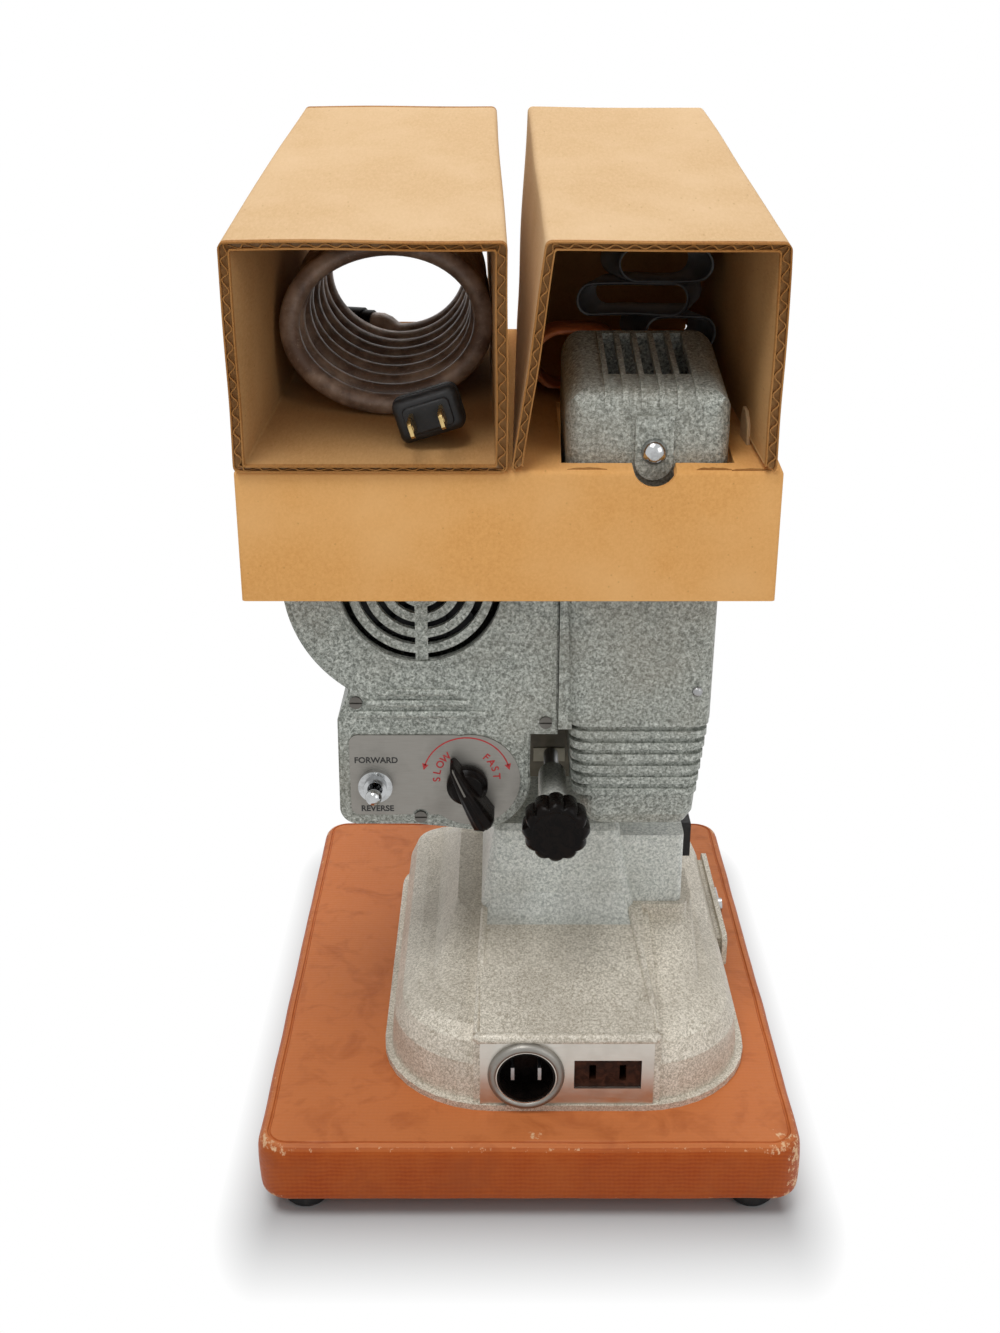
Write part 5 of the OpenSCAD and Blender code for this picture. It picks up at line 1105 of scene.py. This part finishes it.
def carve_speed_knob():
    """Speed knob: a round skirt under a pointer bar with a fluted grip and a pale pointer line."""
    skirt = turned(SPEED_X, SPEED_Z, [(-77.3, 8.9), (-78, 9.2), (-80.8, 9.1), (-81.8, 8.6), (-82.4, 7.8),
                                      (-84.4, 7.2), (-85, 6.6), (-85, 0.5)])
    turn = Matrix.Translation((SPEED_X, 0, SPEED_Z)) @ Matrix.Rotation(math.radians(-28), 4, "Y")
    rings = []
    for k in range(33):
        u = -18 + 32 * k / 32
        to_tip = (u + 18) / 32
        half = 5.3 - 3.9 * to_tip ** 1.2
        high = knob_crest(to_tip)
        end = min(1.0, (u + 18.4) / 2.2, (14.3 - u) / 1.6)
        half, high = half * (0.55 + 0.45 * end), high - 1.6 * (1 - end)
        grip = 0.55 * max(0.0, min(1.0, (3 - u) / 5))
        ring = [(-half, 0), (-half, high * 0.45), (-half * 0.97, high * 0.75)]
        for m in range(25):
            s = -1 + m / 12
            crown = high - 2.6 * abs(s) ** 3.2 * min(1, half / 4)
            ring.append((half * 0.96 * s, crown - grip * (0.5 - 0.5 * math.cos(3.5 * math.pi * (s + 1)))))
        ring += [(half * 0.97, high * 0.75), (half, high * 0.45), (half, 0)]
        rings.append([turn @ Vector((v, -77.3 - w, u)) for v, w in ring])
    piece("pointer_speed_knob", *joined(skirt, skin(rings)), BODY["speed_knob"], "bakelite", PHENOLIC,
          ["speed_knob"], crease=50)
    line = []
    for k in range(13):
        u = 1.5 + 12 * k / 12
        to_tip = (u + 18) / 32
        high = knob_crest(to_tip) - 1.6 * (1 - min(1.0, (14.3 - u) / 1.6))
        wide = 0.6 - 0.2 * k / 12
        across = ((-wide, -0.3), (-wide * 0.7, 0.12), (wide * 0.7, 0.12), (wide, -0.3))
        line.append([turn @ Vector((v, -77.3 - high - w, u)) for v, w in across])
    piece("speed_pointer_line", *skin(line), BODY["speed_knob"], "chrome", OLD_STEEL)


def word(letters, x, z, size, turn=0.0):
    """One printed word or letter on the control plate, its middle at x, z, turned anticlockwise."""
    data = bpy.data.curves.new("word", "FONT")
    data.body, data.size = letters, size
    data.align_x, data.align_y = "CENTER", "CENTER"
    data.offset = 0.11
    data.extrude = 0.03
    stand = Matrix.Translation((x, PRINT_Y, z)) @ UPRIGHT
    return flat_mesh(data, stand @ Matrix.Rotation(math.radians(turn), 4, "Z"))


def print_control_plate():
    """Printed marks: the way of running by the toggle, and a red speed scale with arrows by the knob."""
    black = [word("FORWARD", TOGGLE_X + 0.4, TOGGLE_Z + 11.6, 3.9),
             word("REVERSE", TOGGLE_X + 0.4, TOGGLE_Z - 12.2, 3.9)]
    piece("direction_words", *joined(*black), BODY["control_plate"], "black_paint", BLACK_INK)
    x, z, r = -27.8, 180.4, 19.4
    red = []
    for letters, angles in (("SLOW", (184, 168, 151, 133)), ("FAST", (49, 34, 19, 3))):
        for letter, a in zip(letters, angles):
            red.append(word(letter, x + 13.2 * cos_d(a), z + 13.2 * sin_d(a), 4.6, a - 90))
    band = arc(x, z, r + 0.3, 18, 162, 48) + arc(x, z, r - 0.3, 162, 18, 48)
    place = Matrix.Translation((0, PRINT_Y, 0)) @ UPRIGHT
    red.append(cut_sheet([band], 0.06, 0, place))
    for a, way in ((18, -1), (162, 1)):
        tip, back = a + way * 7, a - way * 2
        head = [(x + r * cos_d(tip), z + r * sin_d(tip)), (x + (r + 1.5) * cos_d(back),
                                                           z + (r + 1.5) * sin_d(back)),
                (x + (r - 1.5) * cos_d(back), z + (r - 1.5) * sin_d(back))]
        red.append(cut_sheet([head], 0.06, 0, place))
    piece("speed_scale", *joined(*red), BODY["control_plate"], "black_paint", RED_INK)


# Small fittings

def slot_plate():
    """Lacquered plate in the slot over the tilt knob, with a raised pale panel."""
    frame_line = [(1.2, 149), (20.6, 149), (20.6, 197.5), (1.2, 197.5)]
    place = Matrix.Translation((0, -10.9, 0)) @ UPRIGHT
    piece("tilt_slot_plate", *cut_sheet([frame_line], 1.2, 0.3, place), "head", "casting_enamel", TAUPE)
    panel = [(3.6, 157.6), (18.4, 157.6), (18.4, 164.4), (3.6, 164.4)]
    place = Matrix.Translation((0, -11.9, 0)) @ UPRIGHT
    piece("tilt_slot_panel", *cut_sheet([panel], 0.9, 0.25, place), "head", "casting_enamel", PALE_TAUPE)


def inlet_bezel():
    """Rounded bezel round the power inlet."""
    profile = [(-125.0, 13.2), (-126.6, 13.2), (-127.8, 13.7), (-128.3, 14.6), (-128.2, 15.6),
               (-127.4, 16.6), (-126, 17.1), (-125.0, 17.2)]
    turns = [2 * math.pi * k / 96 for k in range(96)]
    rings = [[(-1.4 + r * math.cos(a), y, 57 + r * math.sin(a)) for a in turns] for y, r in profile]
    piece("inlet_bezel", *skin(rings, loop=True), "base", "steel", PLATE)


def spine_lip():
    """Rounded casting edge over the socket plate."""
    rings = []
    for x in [-25 + 83.5 * k / 40 for k in range(41)]:
        fade = min(1.0, (x + 25.6) / 2, (59.1 - x) / 2)
        turns = [2 * math.pi * k / 20 for k in range(20)]
        rings.append([(x, -122.6 + 2.9 * fade * math.cos(a), 74.9 + 2.6 * fade * math.sin(a)) for a in turns])
    piece("spine_lip", *skin(rings), "base", "casting_enamel", BASE_ENAMEL)


def casting_top(x, y):
    """Height of the base casting's upper surface, in millimetres."""
    spot = CASTING.ray_cast(Vector((x, y, 300)) * MM, Vector((0, 0, -1)))[0]
    return spot.z / MM


def foot_fillet(name, x0, x1, wall_y, height, run):
    """Hollow fillet where a wall of the pedestal runs out over the casting."""
    rings = []
    for k in range(41):
        x = x0 + (x1 - x0) * k / 40
        fade = min(1.0, (x - x0) / 4 + 0.02, (x1 - x) / 4 + 0.02)
        over, under = [], []
        for m in range(15):
            y = wall_y + 0.7 - (run + 0.7) * m / 14
            z = casting_top(x, y)
            over.append((x, y, z + 0.08 + height * fade * fade * (3 - 2 * fade) * (1 - m / 14) ** 2.6))
            under.append((x, y, z - 0.8))
        rings.append(over + under[::-1])
    piece(name, *skin(rings), "base", "pedestal_enamel", PEDESTAL_ENAMEL)


def spine_ridges():
    """Rounded ridges along both sides of the raised strip between the socket plate and the pedestal."""
    ridges = []
    for rear_x, front_x in ((-23.5, -20.5), (57, 50)):
        rings = []
        for k in range(37):
            y = -120.5 + 71 * k / 36
            x = rear_x + (front_x - rear_x) * k / 36
            z = casting_top(x, y)
            turns = [2 * math.pi * m / 14 for m in range(14)]
            rings.append([(x + 1.7 * math.cos(a), y, z - 0.2 + 2.1 * math.sin(a)) for a in turns])
        ridges.append(skin(rings))
    piece("spine_ridges", *joined(*ridges), "base", "casting_enamel", BASE_ENAMEL)


# The base casting's surface, for pieces that lie on it
CASTING = BVHTree.FromObject(CAD["base_casting"], bpy.context.evaluated_depsgraph_get())


def lamp_house_rivet():
    """Small domed rivet low on the lamp house's rear face."""
    piece("lamp_house_rivet", *turned(72.3, 222.6, [(-75, 2.3), (-79.0, 2.3), (-79.8, 2.0), (-80.3, 1.2),
                                                    (-80.4, 0.3)], 24), "head", "steel", STEEL)


def shade_sheet_under_cap():
    """Black sheet under the cap's slots, its edges turned down: painted shade for the dark inside of the lamp
    house.
    """
    rings = []
    for inset, z in ((0, 339.9), (0.3, 341.6), (1.4, 342.4), (6, 342.9), (14, 343.2)):
        x0, x1 = LAMP_X0 + 4.2 + inset, LAMP_X1 - 4.2 - inset
        y0, y1 = LAMP_Y0 + 6 + inset, LAMP_Y1 - 4.4 - inset
        outline = ((x0 + 1, y0), (x1 - 1, y0), (x1, y0 + 1), (x1, y1 - 1),
                   (x1 - 1, y1), (x0 + 1, y1), (x0, y1 - 1), (x0, y0 + 1))
        rings.append([(x, y, z) for x, y in outline])
    piece("cap_painted_shade_sheet", *skin(rings), BODY["lamp_cap"], "black_paint", BLACK)


def torn_paper():
    """Torn liner on the tray's edge beside the tab, and a flap of board left standing by its cut-out."""
    scraps = []
    for seed, (x0, x1, y, depth) in enumerate([(14, 30, -89.2, 3.4), (66, 80, -89.6, 4.2),
                                               (80, 96, -90.1, 2.6)]):
        upper, lower = [], []
        for k in range(19):
            x = x0 + (x1 - x0) * k / 18
            rough = noise.noise(Vector((x / 3.1, seed * 7.7, 0)))
            swell = math.sin(math.pi * k / 18) * depth * (0.55 + 0.6 * rough)
            upper.append((x, y + 1.2 + swell, top_z(y + 1.2 + swell) + 0.25))
            lower.append((x, y + 1.2, top_z(y + 1.2) + 0.12))
        rings = [[u, (u[0], u[1], u[2] - 0.3), (w[0], w[1], w[2] - 0.3), w] for u, w in zip(upper, lower)]
        scraps.append(skin(rings))
    piece("torn_liner", *joined(*scraps), "insert", "cardboard", BOARD_EDGE)
    flap = [(-62, 322), (-50.5, 324), (-50.8, 337), (-53, 341), (-57, 340), (-61, 335)]
    stand = Matrix.Translation((84, 0, 0)) @ Matrix.Rotation(math.radians(6), 4,
                                                             "Z") @ Matrix.Rotation(math.radians(90), 4,
                                                                                    "Z") @ UPRIGHT
    piece("standing_board_flap", *cut_sheet([flap], 1.6, 0.3, stand), "insert", "cardboard", BOARD)


cover_case_base()
board_tray()
board_tube("left", left_corners, False)
board_tube("right", right_corners, True)
lay_cord()
fold_band()
curl_strap()
flute_tilt_knob()
carve_speed_knob()
print_control_plate()
slot_plate()
inlet_bezel()
spine_lip()
foot_fillet("pedestal_foot", -20, 50, -48, 8, 11)
spine_ridges()
lamp_house_rivet()
shade_sheet_under_cap()
torn_paper()
